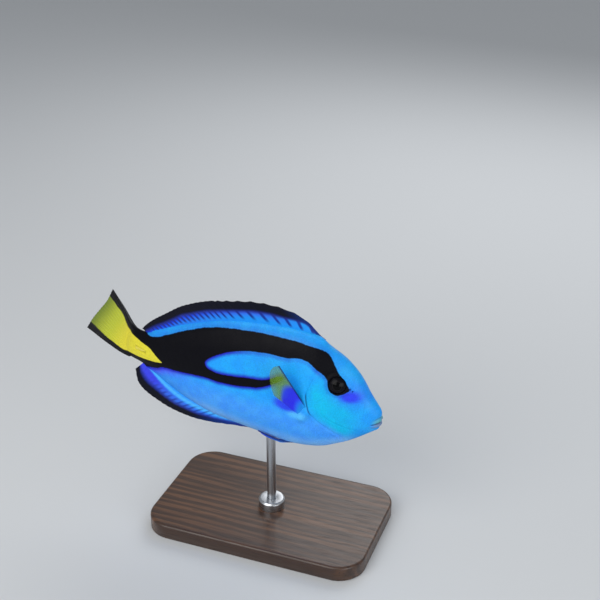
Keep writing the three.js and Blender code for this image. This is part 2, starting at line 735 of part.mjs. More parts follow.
addNode(fish, "dorsal_fin", bent(medianFin(DORSAL_FIN, back, 1).subtract(bodyWithGap)), COLOURS.fin);
addNode(fish, "anal_fin", bent(medianFin(ANAL_FIN, belly, -1).subtract(bodyWithGap)), COLOURS.fin);
addNode(fish, "caudal_fin", bent(caudalFin().subtract(bodyWithGap)), COLOURS.yellow);
for (const { name, side } of SIDES) {
  addNode(fish, "pectoral_fin_" + name, bent(pectoralFin(side).subtract(bodyWithGap)), COLOURS.yellow);
  addNode(fish, "pelvic_fin_" + name, bent(pelvicFin(side).subtract(bodyWithGap)), COLOURS.fin);
  addNode(fish, "eye_" + name, bent(eyeSolid(side, 0)), COLOURS.eye);
  addNode(fish, "tail_spine_" + name, bent(tailSpineSolid(side, 0)), COLOURS.spine);
}

addNode(root, "stand_base", baseGeometry(), COLOURS.base);
addNode(root, "stand_collar", collarGeometry(), COLOURS.steel);
const bellyInPlace = toSolid(bent(bodyWithGap).applyMatrix4(fish.matrixWorld));
addNode(root, "stand_rod", toGeometry(rodSolid(bellyInPlace)), COLOURS.steel);

export default root;
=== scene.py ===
"""Regal blue tang, life size, held in mid-swim on a plain display stand.

The fish is built straight, in millimetres, with its snout at the origin and its body along -X.
Lengths on it are shares of its standard length: "s" runs back from the snout and "z" up from
the snout's level. place() then bends the tail, tips the fish nose down and sets it on its rod.
"""

import json

import bpy
import numpy as np
from mathutils import Matrix, Vector

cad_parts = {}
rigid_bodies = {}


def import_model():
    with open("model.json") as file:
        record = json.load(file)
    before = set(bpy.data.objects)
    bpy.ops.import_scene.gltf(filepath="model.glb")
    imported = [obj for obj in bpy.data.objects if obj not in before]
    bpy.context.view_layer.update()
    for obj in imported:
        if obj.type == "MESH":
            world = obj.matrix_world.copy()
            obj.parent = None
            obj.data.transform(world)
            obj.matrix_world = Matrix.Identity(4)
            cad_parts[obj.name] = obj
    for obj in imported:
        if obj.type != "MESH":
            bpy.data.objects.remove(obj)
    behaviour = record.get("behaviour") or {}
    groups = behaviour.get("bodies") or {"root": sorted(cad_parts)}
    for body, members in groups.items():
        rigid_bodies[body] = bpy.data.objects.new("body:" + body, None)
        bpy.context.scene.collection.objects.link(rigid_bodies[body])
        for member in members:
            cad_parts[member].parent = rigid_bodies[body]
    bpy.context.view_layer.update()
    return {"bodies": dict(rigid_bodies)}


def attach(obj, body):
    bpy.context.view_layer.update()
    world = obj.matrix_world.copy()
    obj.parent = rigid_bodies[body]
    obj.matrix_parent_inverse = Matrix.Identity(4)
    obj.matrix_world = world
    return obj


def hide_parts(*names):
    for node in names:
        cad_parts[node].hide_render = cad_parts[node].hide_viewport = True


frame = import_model()

MM = 0.001
[BODY] = frame["bodies"]
STANDARD_LENGTH = 150.0
NOSE_DOWN = np.radians(4.9)

# The body's outline: station, back, belly, half width and the level where it is widest.
BODY_END = 1.05
BODY_STATIONS = [
    (0, 0.002, -0.03, 0.004, -0.014),
    (0.005, 0.023, -0.055, 0.015, -0.014),
    (0.02, 0.042, -0.069, 0.028, -0.012),
    (0.05, 0.079, -0.094, 0.041, -0.006),
    (0.1, 0.148, -0.133, 0.056, 0),
    (0.15, 0.19, -0.164, 0.068, 0.004),
    (0.2, 0.2165, -0.191, 0.077, 0.004),
    (0.26, 0.2455, -0.207, 0.084, 0),
    (0.35, 0.252, -0.214, 0.087, -0.006),
    (0.45, 0.243, -0.204, 0.085, -0.008),
    (0.55, 0.227, -0.195, 0.078, -0.006),
    (0.65, 0.199, -0.182, 0.067, -0.004),
    (0.75, 0.158, -0.152, 0.053, -0.002),
    (0.83, 0.119, -0.116, 0.042, 0),
    (0.9, 0.084, -0.079, 0.032, 0),
    (0.95, 0.065, -0.063, 0.026, 0),
    (1, 0.058, -0.061, 0.021, 0),
    (BODY_END, 0.054, -0.059, 0.004, 0),
]
FLANK_ROUNDNESS = 1.1

# The turn of the tail, as stretches of the centre line with an angle each, and its roll.
TURNS = [(0.5, 0.95, np.radians(3)), (0.86, 1.1, np.radians(37))]
ROLL = (0.86, 1.2, np.radians(32))
CENTRE_LINE_STEPS = 600
CENTRE_LINE_END = 1.5

# The head.
GILL_EDGE = [
    (0.2, 0.3), (0.203, 0.215), (0.222, 0.165), (0.248, 0.105), (0.258, 0.061), (0.252, 0.02),
    (0.239, -0.01), (0.22, -0.034), (0.19, -0.057), (0.152, -0.083), (0.12, -0.115), (0.1, -0.2),
]
PREOPERCLE = [
    (0.196, 0.05), (0.203, 0.02), (0.196, -0.006), (0.172, -0.026), (0.13, -0.046), (0.085, -0.058),
]
LATERAL_LINE = [
    (0.225, 0.19), (0.3, 0.212), (0.4, 0.217), (0.5, 0.205), (0.6, 0.176), (0.7, 0.132), (0.8, 0.076),
    (0.88, 0.034), (0.96, 0.012), (1.02, 0.004),
]
MOUTH = {"s": 0.03, "front_z": -0.0225, "corner_z": -0.034}
NOSTRILS = [(0.103, 0.094, 0.55), (0.113, 0.1, 0.75)]
EYE = {"s": 0.157, "z": 0.1105, "radius": 4.8, "depth": 2.4, "sunk": 1.0, "pupil": 2.3}

# The fins. "spines" counts the rays without branches in front and at the end, "notch" is how much shorter
# the membrane is beside a spine and a soft ray, and its slope, and "thickness" is that of root and edge.
# A median fin's "root" is the stretch of the body under it and its depth there, "lean" how far back its
# rays run, "spacing" their places along the root, "sway" a wave's height, number and start, "clear" the
# height over the body where the stripes begin and "margin" the width of the dark edge.
DORSAL_FIN = {
    "rays": 28,
    "spines": (9, 0),
    "rows": 48,
    "notch": (0.03, 0.01, 0.25),
    "root": (0.227, 0.9, 0.024),
    "lean": [(0, 0.008), (0.2, 0.1), (0.55, 0.106), (0.78, 0.092), (1, 0.054)],
    "edge": [
        (0.235, 0.2395), (0.255, 0.2515), (0.275, 0.2675), (0.3, 0.287), (0.325, 0.301), (0.36, 0.3135),
        (0.42, 0.323), (0.48, 0.324), (0.53, 0.3188), (0.6, 0.3018), (0.67, 0.2795), (0.72, 0.258),
        (0.76, 0.2375), (0.8, 0.2145), (0.85, 0.176), (0.9, 0.136), (0.935, 0.1), (0.953, 0.077),
    ],
    "spacing": [(0, 0), (0.148, 0.21), (0.296, 0.46), (0.444, 0.6), (0.556, 0.69), (1, 1)],
    "thickness": (1.9, 0.5),
    "ridge": 0.3,
    "sway": (1.1, 1.6, 0.2),
    "clear": [(0.24, 0.4), (0.35, 1.2), (0.7, 1.6), (0.96, 0.2)],
    "margin": [
        (0.25, 0.8), (0.29, 1.0), (0.32, 1.6), (0.38, 4.2), (0.46, 5.1), (0.6, 5.7), (0.7, 5.3),
        (0.78, 4.7), (0.87, 3.9), (0.95, 2.2),
    ],
}
ANAL_FIN = {
    "rays": 21,
    "spines": (3, 0),
    "rows": 48,
    "notch": (0.03, 0.01, 0.25),
    "root": (0.455, 0.925, 0.022),
    "lean": [(0, 0.015), (0.2, 0.09), (0.5, 0.118), (0.75, 0.112), (1, 0.043)],
    "edge": [
        (0.47, -0.2035), (0.55, -0.2145), (0.65, -0.232), (0.74, -0.242), (0.83, -0.232), (0.9, -0.199),
        (0.95, -0.15), (0.968, -0.1),
    ],
    "spacing": [(0, 0), (0.3, 0.36), (1, 1)],
    "thickness": (1.8, 0.5),
    "ridge": 0.3,
    "sway": (0.9, 1.3, 0.6),
    "clear": [
        (0.5, -1), (0.56, -0.4), (0.65, 1.4), (0.74, 3.4), (0.81, 3.6), (0.866, 2.2), (0.904, -0.3),
        (0.96, -6),
    ],
    "margin": [
        (0.45, 0), (0.5, 0.4), (0.55, 1.1), (0.6, 1.8), (0.68, 2.8), (0.76, 4.3), (0.82, 5), (0.88, 5.8),
        (0.92, 5.2), (0.97, 3.6),
    ],
}
CAUDAL_FIN = {
    "rays": 16,
    "spines": (1, 1),
    "rows": 84,
    "notch": (0.005, 0.005, 0.3),
    "root": (0.995, -0.059, 0.049),
    "edge": [
        (0, 1.33, -0.119),
        (0.25, 1.333, -0.074),
        (0.5, 1.319, -0.024),
        (0.75, 1.299, 0.027),
        (1, 1.297, 0.078),
    ],
    "thickness": (3.6, 0.5),
    "ridge": 0.34,
    "sway": (1.2, 0.5, 0.1),
}
PECTORAL_FIN = {
    "rays": 16,
    "spines": (1, 0),
    "rows": 56,
    "notch": (0.008, 0.008, 0.3),
    "root": ((0.247, -0.014), (0.27, -0.046)),
    "sunk": 1.6,
    "bow": 0.8,
    "leading": (0.42, 0.3, 0.85),
    "trailing": (0.6, 0.42, 0.67),
    "length": [(0, 0.23), (0.2, 0.24), (0.4, 0.233), (0.7, 0.192), (1, 0.146)],
    "thickness": (2.2, 0.45),
    "ridge": 0.22,
}
PELVIC_FIN = {
    "rays": 4,
    "spines": (1, 0),
    "rows": 60,
    "notch": (0.03, 0.03, 0.3),
    "outer": (0.288, 0.024, 0.436, 0.05),
    "inner": (0.316, 0.01, 0.402, 0.028),
    "sunk": 1.2,
    "root_share": 0.5,
    "lift": 1.0,
    "flare": 0.35,
    "thickness": (1.5, 0.5),
    "ridge": 0.3,
}
TAIL_SPINE = {"s": 0.965, "z": 0.0, "length": 7.0, "height": 2.2, "thickness": 1.9, "sunk": 0.3}

# The markings: the black palette from the eye to the tail with its blue oval, and the yellow wedge.
BLACK_OUTLINE = [
    (0.1145, 0.0955), (0.119, 0.106), (0.13, 0.119), (0.1435, 0.1345), (0.166, 0.158), (0.187, 0.184),
    (0.2095, 0.2055), (0.238, 0.2175), (0.279, 0.223), (0.329, 0.228), (0.387, 0.226), (0.446, 0.223),
    (0.504, 0.216), (0.569, 0.206), (0.635, 0.191), (0.7, 0.167), (0.764, 0.137), (0.83, 0.101),
    (0.871, 0.079), (0.915, 0.068), (0.96, 0.082), (1.1, 0.09), (1.1, -0.09), (0.96, -0.084),
    (0.93, -0.072), (0.9, -0.061), (0.865, -0.047), (0.833, -0.029), (0.759, -0.019), (0.669, -0.002),
    (0.6, 0.002), (0.533, 0.01), (0.468, 0.025), (0.429, 0.037), (0.392, 0.057), (0.36, 0.08),
    (0.35, 0.096), (0.366, 0.096), (0.398, 0.078), (0.432, 0.064), (0.487, 0.055), (0.552, 0.042),
    (0.603, 0.035), (0.644, 0.041), (0.656, 0.061), (0.642, 0.081), (0.611, 0.104), (0.564, 0.13),
    (0.502, 0.152), (0.448, 0.163), (0.41, 0.167), (0.371, 0.167), (0.34, 0.17), (0.319, 0.176),
    (0.297, 0.178), (0.267, 0.172), (0.237, 0.154), (0.209, 0.138), (0.194, 0.122), (0.1885, 0.103),
    (0.18, 0.0865), (0.167, 0.0775), (0.154, 0.0745), (0.139, 0.0785), (0.1245, 0.086),
]
YELLOW_TOP = [
    (0.8, -0.035), (0.84, -0.011), (0.87, 0.008), (0.893, 0.025), (0.92, 0.031), (0.98, 0.036),
    (1.06, 0.04), (1.14, 0.048), (1.2, 0.047), (1.33, 0.05),
]
YELLOW_BOTTOM = [
    (0.8, 0.004), (0.836, -0.011), (0.86, -0.019), (0.893, -0.026), (0.93, -0.032), (0.99, -0.04),
    (1.05, -0.053), (1.11, -0.062), (1.16, -0.07), (1.21, -0.076), (1.26, -0.083), (1.34, -0.092),
]

# Soft spots of colour on the skin, among them a painted highlight below the pectoral fin's root and a
# painted shadow under the fin: the middle and the half widths.
SPOTS = {
    "spot": (0.108, 0.073, 0.031, 0.019),
    "patch": (0.285, -0.036, 0.05, 0.022),
    "axil": (0.326, -0.003, 0.057, 0.031),
}

# The stand, in millimetres. "edge" is the rounding of the lesser corners.
BASE = {"length": 128.0, "width": 78.0, "height": 9.0, "corner": 15.5, "bevel": 1.5, "edge": 0.6}
ROD = {"s": 0.405, "radius": 2.6, "in_belly": 3.0, "edge": 0.004}
COLLAR = {"radius": 7.5, "height": 5.5, "bevel": 1.0, "edge": 0.22, "clearance": 0.05}
JOINT_GAP = 0.3
BELLY_HEIGHT = 58.0

# The camera: where the middle of the fish stands in the photograph's frame, and from how far.
FRAME_PIXELS = 600
MIDDLE_PIXEL = (250.6, 379.3)
MIDDLE_STATION = 0.5
CAMERA_AZIMUTH = np.radians(20.8)
CAMERA_ELEVATION = np.radians(26.8)
CAMERA_DISTANCE = 600.0
FOCAL_PIXELS = 1101.6
SENSOR_WIDTH = 36.0

# The studio, in metres. A softbox has a place, a size, a power and a colour.
SOFTBOXES = {
    "key": ((-0.25, -0.75, 0.6), (0.8, 0.8), 6.2, (1.0, 0.98, 0.95)),
    "fill": ((0.75, -0.55, 0.22), (0.6, 0.4), 2.6, (0.95, 0.98, 1.0)),
    "rim": ((0.1, 0.7, 0.6), (0.8, 0.5), 3.0, (1.0, 1.0, 1.0)),
}
LIGHT_TARGET = (0, 0, 0.08)
WORLD_COLOUR = (0.93, 0.96, 1.0, 1.0)
WORLD_STRENGTH = 0.4
FLOOR_REACH = 12.0

# Colours, as seen on screen.
AZURE = (24, 166, 248)
BACK_STRIP = (30, 164, 242)
CHEEK = (4, 187, 234)
SNOUT = (28, 164, 246)
BELLY_BLUE = (66, 162, 254)
# The low belly's paler blue: partly the fish's own tone, partly painted light against the shade on the
# underside.
LOW_BELLY_PALE_AND_LIT = (128, 192, 255)
REAR_BLUE = (42, 152, 252)
REAR_VIOLET = (76, 92, 250)
DEEP_BLUE = (20, 26, 190)
NAVY = (10, 16, 84)
LAVENDER = (48, 92, 222)
FIN_BLUE = (6, 50, 222)
FIN_ROOT = (10, 140, 232)
FIN_REAR = (24, 118, 226)
FIN_LOW = (46, 108, 232)
STRIPE = (0, 30, 132)
MARGIN_NAVY = (16, 34, 128)
MARGIN_BLACK = (9, 11, 26)
MARGIN_FRONT = (4, 44, 116)
FIN_VIOLET = (54, 64, 224)
STREAK = (72, 178, 254)
# Violet of the spot in front of the eye, also used as painted shadow under the pectoral fin.
VIOLET_SPOT_AND_FIN_SHADOW = (44, 66, 238)
SPOT_HALO = (40, 132, 244)
# Pale cyan of a painted highlight below the pectoral fin's root.
PAINTED_HIGHLIGHT = (92, 196, 252)
LIP_COLOUR = (114, 138, 178)
LIP_EDGE = (88, 166, 180)
BLACK = (8, 8, 15)
# Painted shade for the creases of the mouth, gill slit, nostrils and eye socket.
CREASE_SHADE = (6, 38, 104)
YELLOW = (222, 212, 62)
TAIL_GREEN = (194, 204, 58)
TAIL_OLIVE = (96, 120, 44)
TAIL_MEMBRANE = (150, 160, 50)
LEAF = (112, 156, 46)
LEAF_RAY = (92, 126, 40)
PECTORAL_ROOT = (44, 44, 246)
LEADING_RAY = (8, 34, 104)
PELVIC_BLUE = (48, 92, 226)
PUPIL = (4, 4, 6)
IRIS_DARK = (6, 7, 12)
IRIS_PALE = (18, 16, 22)
EYE_RING = (60, 56, 52)
EYE_RIM = (6, 6, 10)
BONE = (222, 210, 84)
BONE_SHADE = (204, 192, 60)
WALNUT = (62, 40, 27)
WALNUT_PALE = (98, 66, 44)
WALNUT_DARK = (48, 30, 21)
WALNUT_PORE = (26, 16, 12)
STEEL = (196, 199, 203)
STEEL_SHADE = (168, 171, 176)
FLOOR_GREY = (206, 209, 212)


def rgba(colour):
    """Linear colour of a screen colour."""
    share = np.array(colour, float) / 255
    linear = np.where(share <= 0.04045, share / 12.92, ((share + 0.055) / 1.055) ** 2.4)
    return (*(float(x) for x in linear), 1.0)


# Curves and blends.
def mix(a, b, share):
    return a + (b - a) * share


def smoothstep(x, start, end):
    t = np.clip((x - start) / (end - start), 0, 1)
    return t * t * (3 - 2 * t)


def bump(distance, width):
    return np.exp(-((distance / width) ** 2))


def unit(vectors):
    return vectors / np.linalg.norm(vectors, axis=-1, keepdims=True)


def stacked(*parts):
    """Arrays put together along a new last axis, such as the parts of points."""
    return np.stack(np.broadcast_arrays(*parts), axis=-1)


def curve_through(points):
    """A smooth curve y(x) through a few points, with the slopes of their neighbours."""
    xs, ys = np.array(points, float).T
    before = np.maximum(np.arange(len(xs)) - 1, 0)
    after = np.minimum(np.arange(len(xs)) + 1, len(xs) - 1)
    slopes = (ys[after] - ys[before]) / (xs[after] - xs[before])

    def curve(x):
        i = np.searchsorted(xs[1:-1], x, side="left")
        h = xs[i + 1] - xs[i]
        t = np.clip((x - xs[i]) / h, 0, 1)
        ends = (1 + 2 * t) * (1 - t) ** 2 * ys[i] + t * t * (3 - 2 * t) * ys[i + 1]
        return ends + t * (1 - t) ** 2 * h * slopes[i] - t * t * (1 - t) * h * slopes[i + 1]

    return curve


def spline(points, closed=False, steps=8):
    """Points of a smooth line through a few points of the plane."""
    p = np.array(points, float)
    if closed:
        padded = np.vstack([p[-1], p, p[:2]])
    else:
        padded = np.vstack([2 * p[0] - p[1], p, 2 * p[-1] - p[-2]])
    t = (np.arange(steps) / steps)[:, None]
    line = []
    for a, b, c, d in zip(padded, padded[1:], padded[2:], padded[3:]):
        bend = 2 * b + (c - a) * t + (2 * a - 5 * b + 4 * c - d) * t**2 + (3 * b - a - 3 * c + d) * t**3
        line.append(bend / 2)
    return np.vstack([*line, padded[-2]])


def signed_distance(line, s, z):
    """Millimetres from each place to a line of points, above zero to the right of its run."""
    nearest = np.full(s.shape, np.inf)
    side = np.ones(s.shape)
    for start, end in zip(line, line[1:]):
        along = end - start
        away_s, away_z = s - start[0], z - start[1]
        t = np.clip((away_s * along[0] + away_z * along[1]) / (along @ along), 0, 1)
        distance = np.hypot(away_s - t * along[0], away_z - t * along[1])
        closer = distance < nearest
        nearest[closer] = distance[closer]
        turn = along[0] * away_z - along[1] * away_s
        side[closer] = np.where(turn[closer] < 0, 1, -1)
    return nearest * side * STANDARD_LENGTH


def depth_inside(loop, s, z):
    """Millimetres that each place lies inside a closed line, negative outside it."""
    nearest = np.abs(signed_distance(loop, s, z))
    inside = np.zeros(s.shape, bool)
    for start, end in zip(loop, loop[1:]):
        if start[1] == end[1]:
            continue
        spans = (start[1] > z) != (end[1] > z)
        crossing = start[0] + (z - start[1]) / (end[1] - start[1]) * (end[0] - start[0])
        inside ^= spans & (s < crossing)
    return np.where(inside, nearest, -nearest)


# The body's plain form. The outline curves run on the square root of s, so the snout is blunt.
def outline_of(column):
    curve = curve_through([(np.sqrt(station[0]), station[column]) for station in BODY_STATIONS])
    return lambda s: curve(np.sqrt(np.maximum(s, 0)))


back, belly, half_width, widest_level = (outline_of(column) for column in range(1, 5))


def body_point(s, angle):
    up, side = np.sin(angle), np.cos(angle)
    level = widest_level(s)
    height = np.where(up > 0, back(s) - level, level - belly(s))
    width = half_width(s) * np.abs(side) ** FLANK_ROUNDNESS * np.sign(side)
    return stacked(-s, width, level + height * up) * STANDARD_LENGTH


def flank_at(s, z):
    level = widest_level(s)
    share = np.where(z > level, (z - level) / (back(s) - level), (level - z) / (level - belly(s)))
    return half_width(s) * np.maximum(1 - share * share, 0) ** (FLANK_ROUNDNESS / 2)


def flank_point(s, z, side):
    return stacked(-s, side * flank_at(s, z), z) * STANDARD_LENGTH


def flank_normal(s, z, side):
    step = 0.004
    along_s = (flank_at(s + step, z) - flank_at(s - step, z)) / (2 * step)
    along_z = (flank_at(s, z + step) - flank_at(s, z - step)) / (2 * step)
    return unit(stacked(along_s, side, -along_z))


# The bent centre line, integrated once in small steps.
def turn_at(s):
    return sum(angle * smoothstep(s, start, end) for start, end, angle in TURNS)


centre_s = np.linspace(0, CENTRE_LINE_END, CENTRE_LINE_STEPS + 1)
step_turns = turn_at((centre_s[1:] + centre_s[:-1]) / 2)
centre_x = -np.concatenate([[0], np.cumsum(np.cos(step_turns))]) * centre_s[1]
centre_y = np.concatenate([[0], np.cumsum(np.sin(step_turns))]) * centre_s[1]


def bend(points):
    s = -points[..., 0] / STANDARD_LENGTH
    turn = turn_at(s)
    roll = ROLL[2] * smoothstep(s, ROLL[0], ROLL[1])
    side = points[..., 1] * np.cos(roll) + points[..., 2] * np.sin(roll)
    up = points[..., 2] * np.cos(roll) - points[..., 1] * np.sin(roll)
    x = np.interp(s, centre_s, centre_x) * STANDARD_LENGTH + np.maximum(points[..., 0], 0)
    y = np.interp(s, centre_s, centre_y) * STANDARD_LENGTH
    return stacked(x + side * np.sin(turn), y + side * np.cos(turn), up)


def tip(points):
    x, z = points[..., 0], points[..., 2]
    tipped_x = x * np.cos(NOSE_DOWN) + z * np.sin(NOSE_DOWN)
    tipped_z = z * np.cos(NOSE_DOWN) - x * np.sin(NOSE_DOWN)
    return stacked(tipped_x, points[..., 1], tipped_z)


rod_belly = tip(np.array([-ROD["s"], 0, belly(ROD["s"])]) * STANDARD_LENGTH)
RAISED = np.array([-rod_belly[0], 0, BELLY_HEIGHT - rod_belly[2]])


def place(points):
    """The place on the stand, in metres, of points of the straight fish."""
    return (tip(bend(points)) + RAISED) * MM


# Meshes.
def add_mesh(name, points, faces, material, node_names, data=None, flat=False):
    """One piece: its mesh with a value or a vector for each vertex under each name in data."""
    mesh = bpy.data.meshes.new(name)
    mesh.from_pydata(points.reshape(-1, 3), [], faces)
    for key, values in (data or {}).items():
        values = np.asarray(values, np.float32).ravel()
        single = len(values) == len(mesh.vertices)
        kind, field = ("FLOAT", "value") if single else ("FLOAT_VECTOR", "vector")
        mesh.attributes.new(key, kind, "POINT").data.foreach_set(field, values)
    mesh.validate()
    mesh.polygons.foreach_set("use_smooth", [not flat] * len(mesh.polygons))
    mesh.materials.append(material)
    piece = show(name, mesh)
    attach(piece, BODY)
    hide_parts(*node_names)


def grid_faces(columns, rows, closed=False):
    """Quads of a grid whose vertices run down each column."""
    j = np.arange(columns if closed else columns - 1)[:, None]
    i = np.arange(rows - 1)[None, :]
    k = (j + 1) % columns
    quads = stacked(j * rows + i, j * rows + i + 1, k * rows + i + 1, k * rows + i)
    return quads.reshape(-1, 4)


# The skin.
NOSE_START = 0.0004
NOSE_RINGS = 90
NOSE_END = 0.05
HEAD_END = 0.3
HEAD_RING_MM = 0.28
BODY_RING_MM = 0.5
NOSE_TIP = 0.25
END_TIP = 0.1
SKIN_SIDES = 560
ANGLE_STEPS = 4000
FACE_ANGLE = np.radians(28)
FACE_SPREAD = np.radians(16)
FACE_DENSITY = 0.9


def skin_stations():
    nose = np.linspace(np.sqrt(NOSE_START), np.sqrt(NOSE_END), NOSE_RINGS) ** 2
    head = np.arange(NOSE_END, HEAD_END, HEAD_RING_MM / STANDARD_LENGTH)[1:]
    body = np.arange(HEAD_END, BODY_END, BODY_RING_MM / STANDARD_LENGTH)
    return np.concatenate([nose, head, body, [BODY_END]])


def skin_angles():
    """Angles that space the vertices evenly round a section, closer at the height of the eyes."""
    angles = np.linspace(-np.pi / 2, 1.5 * np.pi, ANGLE_STEPS + 1)
    section = body_point(np.full(angles.shape, HEAD_END), angles)
    lengths = np.linalg.norm(np.diff(section, axis=0), axis=1)
    middle = (angles[1:] + angles[:-1]) / 2
    from_level = np.minimum(np.abs(middle - FACE_ANGLE), np.abs(middle - np.pi + FACE_ANGLE))
    weight = lengths * (1 + FACE_DENSITY * bump(from_level, FACE_SPREAD))
    reached = np.concatenate([[0], np.cumsum(weight)])
    wanted = np.arange(SKIN_SIDES) / SKIN_SIDES * reached[-1]
    return np.interp(wanted, reached, angles)


def grid_normals(points):
    """Normals of rings (first axis) of points round a closed section (second axis)."""
    along = np.gradient(points, axis=0)
    across = np.roll(points, -1, axis=1) - np.roll(points, 1, axis=1)
    return unit(np.cross(along, across))


def from_axis(points, s, z):
    """Distance of points from the axis through a place on their own flank."""
    distance = np.full(points.shape[:-1], STANDARD_LENGTH)
    for side in (1, -1):
        axis = flank_normal(s, z, side)
        away = points - flank_point(s, z, side)
        radius = np.linalg.norm(away - (away @ axis)[..., None] * axis, axis=-1)
        distance = np.where(points[..., 1] * side > 0, radius, distance)
    return distance


def over_mouth(s, z):
    """Millimetres over the line of the mouth, which runs on level behind its corner."""
    line = mix(MOUTH["front_z"], MOUTH["corner_z"], np.minimum(s / MOUTH["s"], 1))
    return (z - line) * STANDARD_LENGTH


# The skin's relief. Each function returns heights over the plain form, in millimetres as are the sizes in
# them, and how deep the creases are, from 0 to 1, where the skin's colour gets painted shade.
def mouth_relief(s, z):
    over = over_mouth(s, z)
    lip_fade = 1 - smoothstep(s, 0.006, 0.034)
    plump = mix(0.55, 1, lip_fade)
    line = (1 - smoothstep(s, 0.02, 0.034)) * bump(over, 0.3)
    lips = lip_fade * (0.8 * bump(over - 1.4 * plump, plump) + 0.9 * bump(over + 1.5 * plump, plump))
    folds = lip_fade * (bump(over - 3 * plump, 0.5) + bump(over + 3.1 * plump, 0.5))
    corner = np.hypot((s - 0.036) * STANDARD_LENGTH, over + 0.2)
    height = 0.7 * lips - 1.3 * line - 0.22 * folds + 0.25 * bump(corner, 0.8)
    return height, line + 0.35 * folds


def eye_relief(points):
    """The socket, its raised rim and a faint ring round it."""
    past_rim = from_axis(points, EYE["s"], EYE["z"]) - EYE["radius"]
    socket = 1 - smoothstep(past_rim, -0.9, 0)
    height = 0.22 * bump(past_rim - 0.5, 0.8) - 2.8 * socket - 0.12 * bump(past_rim - 2.4, 0.7)
    return height, 0.9 * (1 - smoothstep(past_rim, -0.3, 0.2))


def nostril_relief(points, s, z, radius):
    away = from_axis(points, s, z)
    pit = 1 - smoothstep(away, 0.4 * radius, 1.15 * radius)
    return 0.2 * bump(away - 1.45 * radius, 0.35) - 0.7 * pit, 0.65 * pit


def gill_relief(s, z):
    """The gill cover stands proud, most behind the cheek, where its slit is open."""
    gill = signed_distance(spline(GILL_EDGE), s, z)
    below_top = 1 - smoothstep(z, 0.11, 0.16)
    behind_cheek = smoothstep(z, -0.035, -0.01) * (1 - smoothstep(z, 0.045, 0.075))
    cover = mix(0.04, 0.5, smoothstep(z, -0.1, -0.02)) * np.exp(-np.maximum(gill, 0) / 4.5)
    slit = mix(0.07, 0.5, behind_cheek) * bump(gill + 0.35, 0.38)
    height = (cover * smoothstep(gill, -0.1, 0.5) - slit + 0.1 * bump(gill + 1.9, 0.5)) * below_top
    return height, 0.7 * behind_cheek * bump(gill + 0.35, 0.38) * below_top


def cheek_relief(s, z):
    cheek = signed_distance(spline(PREOPERCLE), s, z)
    step = 0.13 * np.exp(-np.maximum(cheek, 0) / 2.2) * smoothstep(cheek, -0.3, 0.3)
    return step - 0.1 * bump(cheek + 0.5, 0.4), 0


def lateral_line_relief(s, z):
    pores = 0.5 + 0.5 * np.cos(2 * np.pi * s * STANDARD_LENGTH / 1.9)
    return bump(signed_distance(spline(LATERAL_LINE), s, z), 0.4) * (0.09 - 0.08 * pores), 0


def tail_groove_relief(s, z):
    """The groove of the tail spine between the lips of its sheath."""
    forward = (TAIL_SPINE["s"] - s) * STANDARD_LENGTH
    beside = (z - TAIL_SPINE["z"]) * STANDARD_LENGTH
    length = TAIL_SPINE["length"]
    sheath = smoothstep(forward, -0.6, 0.4) * (1 - smoothstep(forward, length, length + 1))
    groove = sheath * bump(beside, 1.0)
    return 0.22 * sheath * bump(np.abs(beside) - 1.7, 0.5) - 0.75 * groove, 0.7 * groove


def median_root_relief(points, s, z, fin, level):
    """The low wall of skin along the root of a median fin."""
    start, end, _ = fin["root"]
    stretch = smoothstep(s, start - 0.015, start + 0.02) * (1 - smoothstep(s, end - 0.01, end + 0.015))
    return stretch * bump((z - level) * STANDARD_LENGTH, 2.5) * bump(points[..., 1], 1.5), 0


def pectoral_root_relief(s, z):
    return 1.2 * bump(signed_distance(np.array(PECTORAL_FIN["root"]), s, z), 2.5), 0


def ripple_relief(s, z):
    """Shallow ripples all over, and the chevrons of the muscles on the flank."""
    x_mm, z_mm = s * STANDARD_LENGTH, z * STANDARD_LENGTH
    soft = np.sin(x_mm / 1.9 + 0.4 * z_mm) * np.sin(z_mm / 2.3 - 0.2 * x_mm)
    broad = np.sin(x_mm / 5.3 + 1.1) * np.cos(z_mm / 4.7 + x_mm / 11)
    chevrons = np.sin(2 * np.pi * (x_mm - 0.55 * np.abs(z_mm)) / 4.6)
    on_flank_share = smoothstep(s, 0.35, 0.5) * (1 - smoothstep(s, 0.86, 0.92))
    return 0.02 * soft + 0.07 * broad + 0.012 * chevrons * on_flank_share, 0


def skin_relief(points, s, z):
    parts = [
        mouth_relief(s, z),
        eye_relief(points),
        *(nostril_relief(points, *nostril) for nostril in NOSTRILS),
        gill_relief(s, z),
        cheek_relief(s, z),
        lateral_line_relief(s, z),
        tail_groove_relief(s, z),
        median_root_relief(points, s, z, DORSAL_FIN, back(s)),
        median_root_relief(points, s, z, ANAL_FIN, belly(s)),
        pectoral_root_relief(s, z),
        ripple_relief(s, z),
    ]
    heights, creases = zip(*parts)
    return sum(heights), np.clip(sum(creases), 0, 1)


def yellow_depth(s, z):
    """Millimetres inside the yellow of the tail, negative outside it."""
    top, bottom = curve_through(YELLOW_TOP), curve_through(YELLOW_BOTTOM)
    return np.minimum(top(s) - z, z - bottom(s)) * STANDARD_LENGTH


def skin_faces(rings, sides):
    """Quads between the rings and triangles to the two end points, which are the last vertices."""
    ring = np.arange(sides)
    following = (ring + 1) % sides
    starts = np.arange(rings - 1)[:, None] * sides
    quads = stacked(starts + ring, starts + sides + ring, starts + sides + following, starts + following)
    last_ring = (rings - 1) * sides
    nose = stacked(np.full(sides, rings * sides), ring, following)
    end = stacked(np.full(sides, rings * sides + 1), last_ring + following, last_ring + ring)
    return [*quads.reshape(-1, 4).tolist(), *nose.tolist(), *end.tolist()]


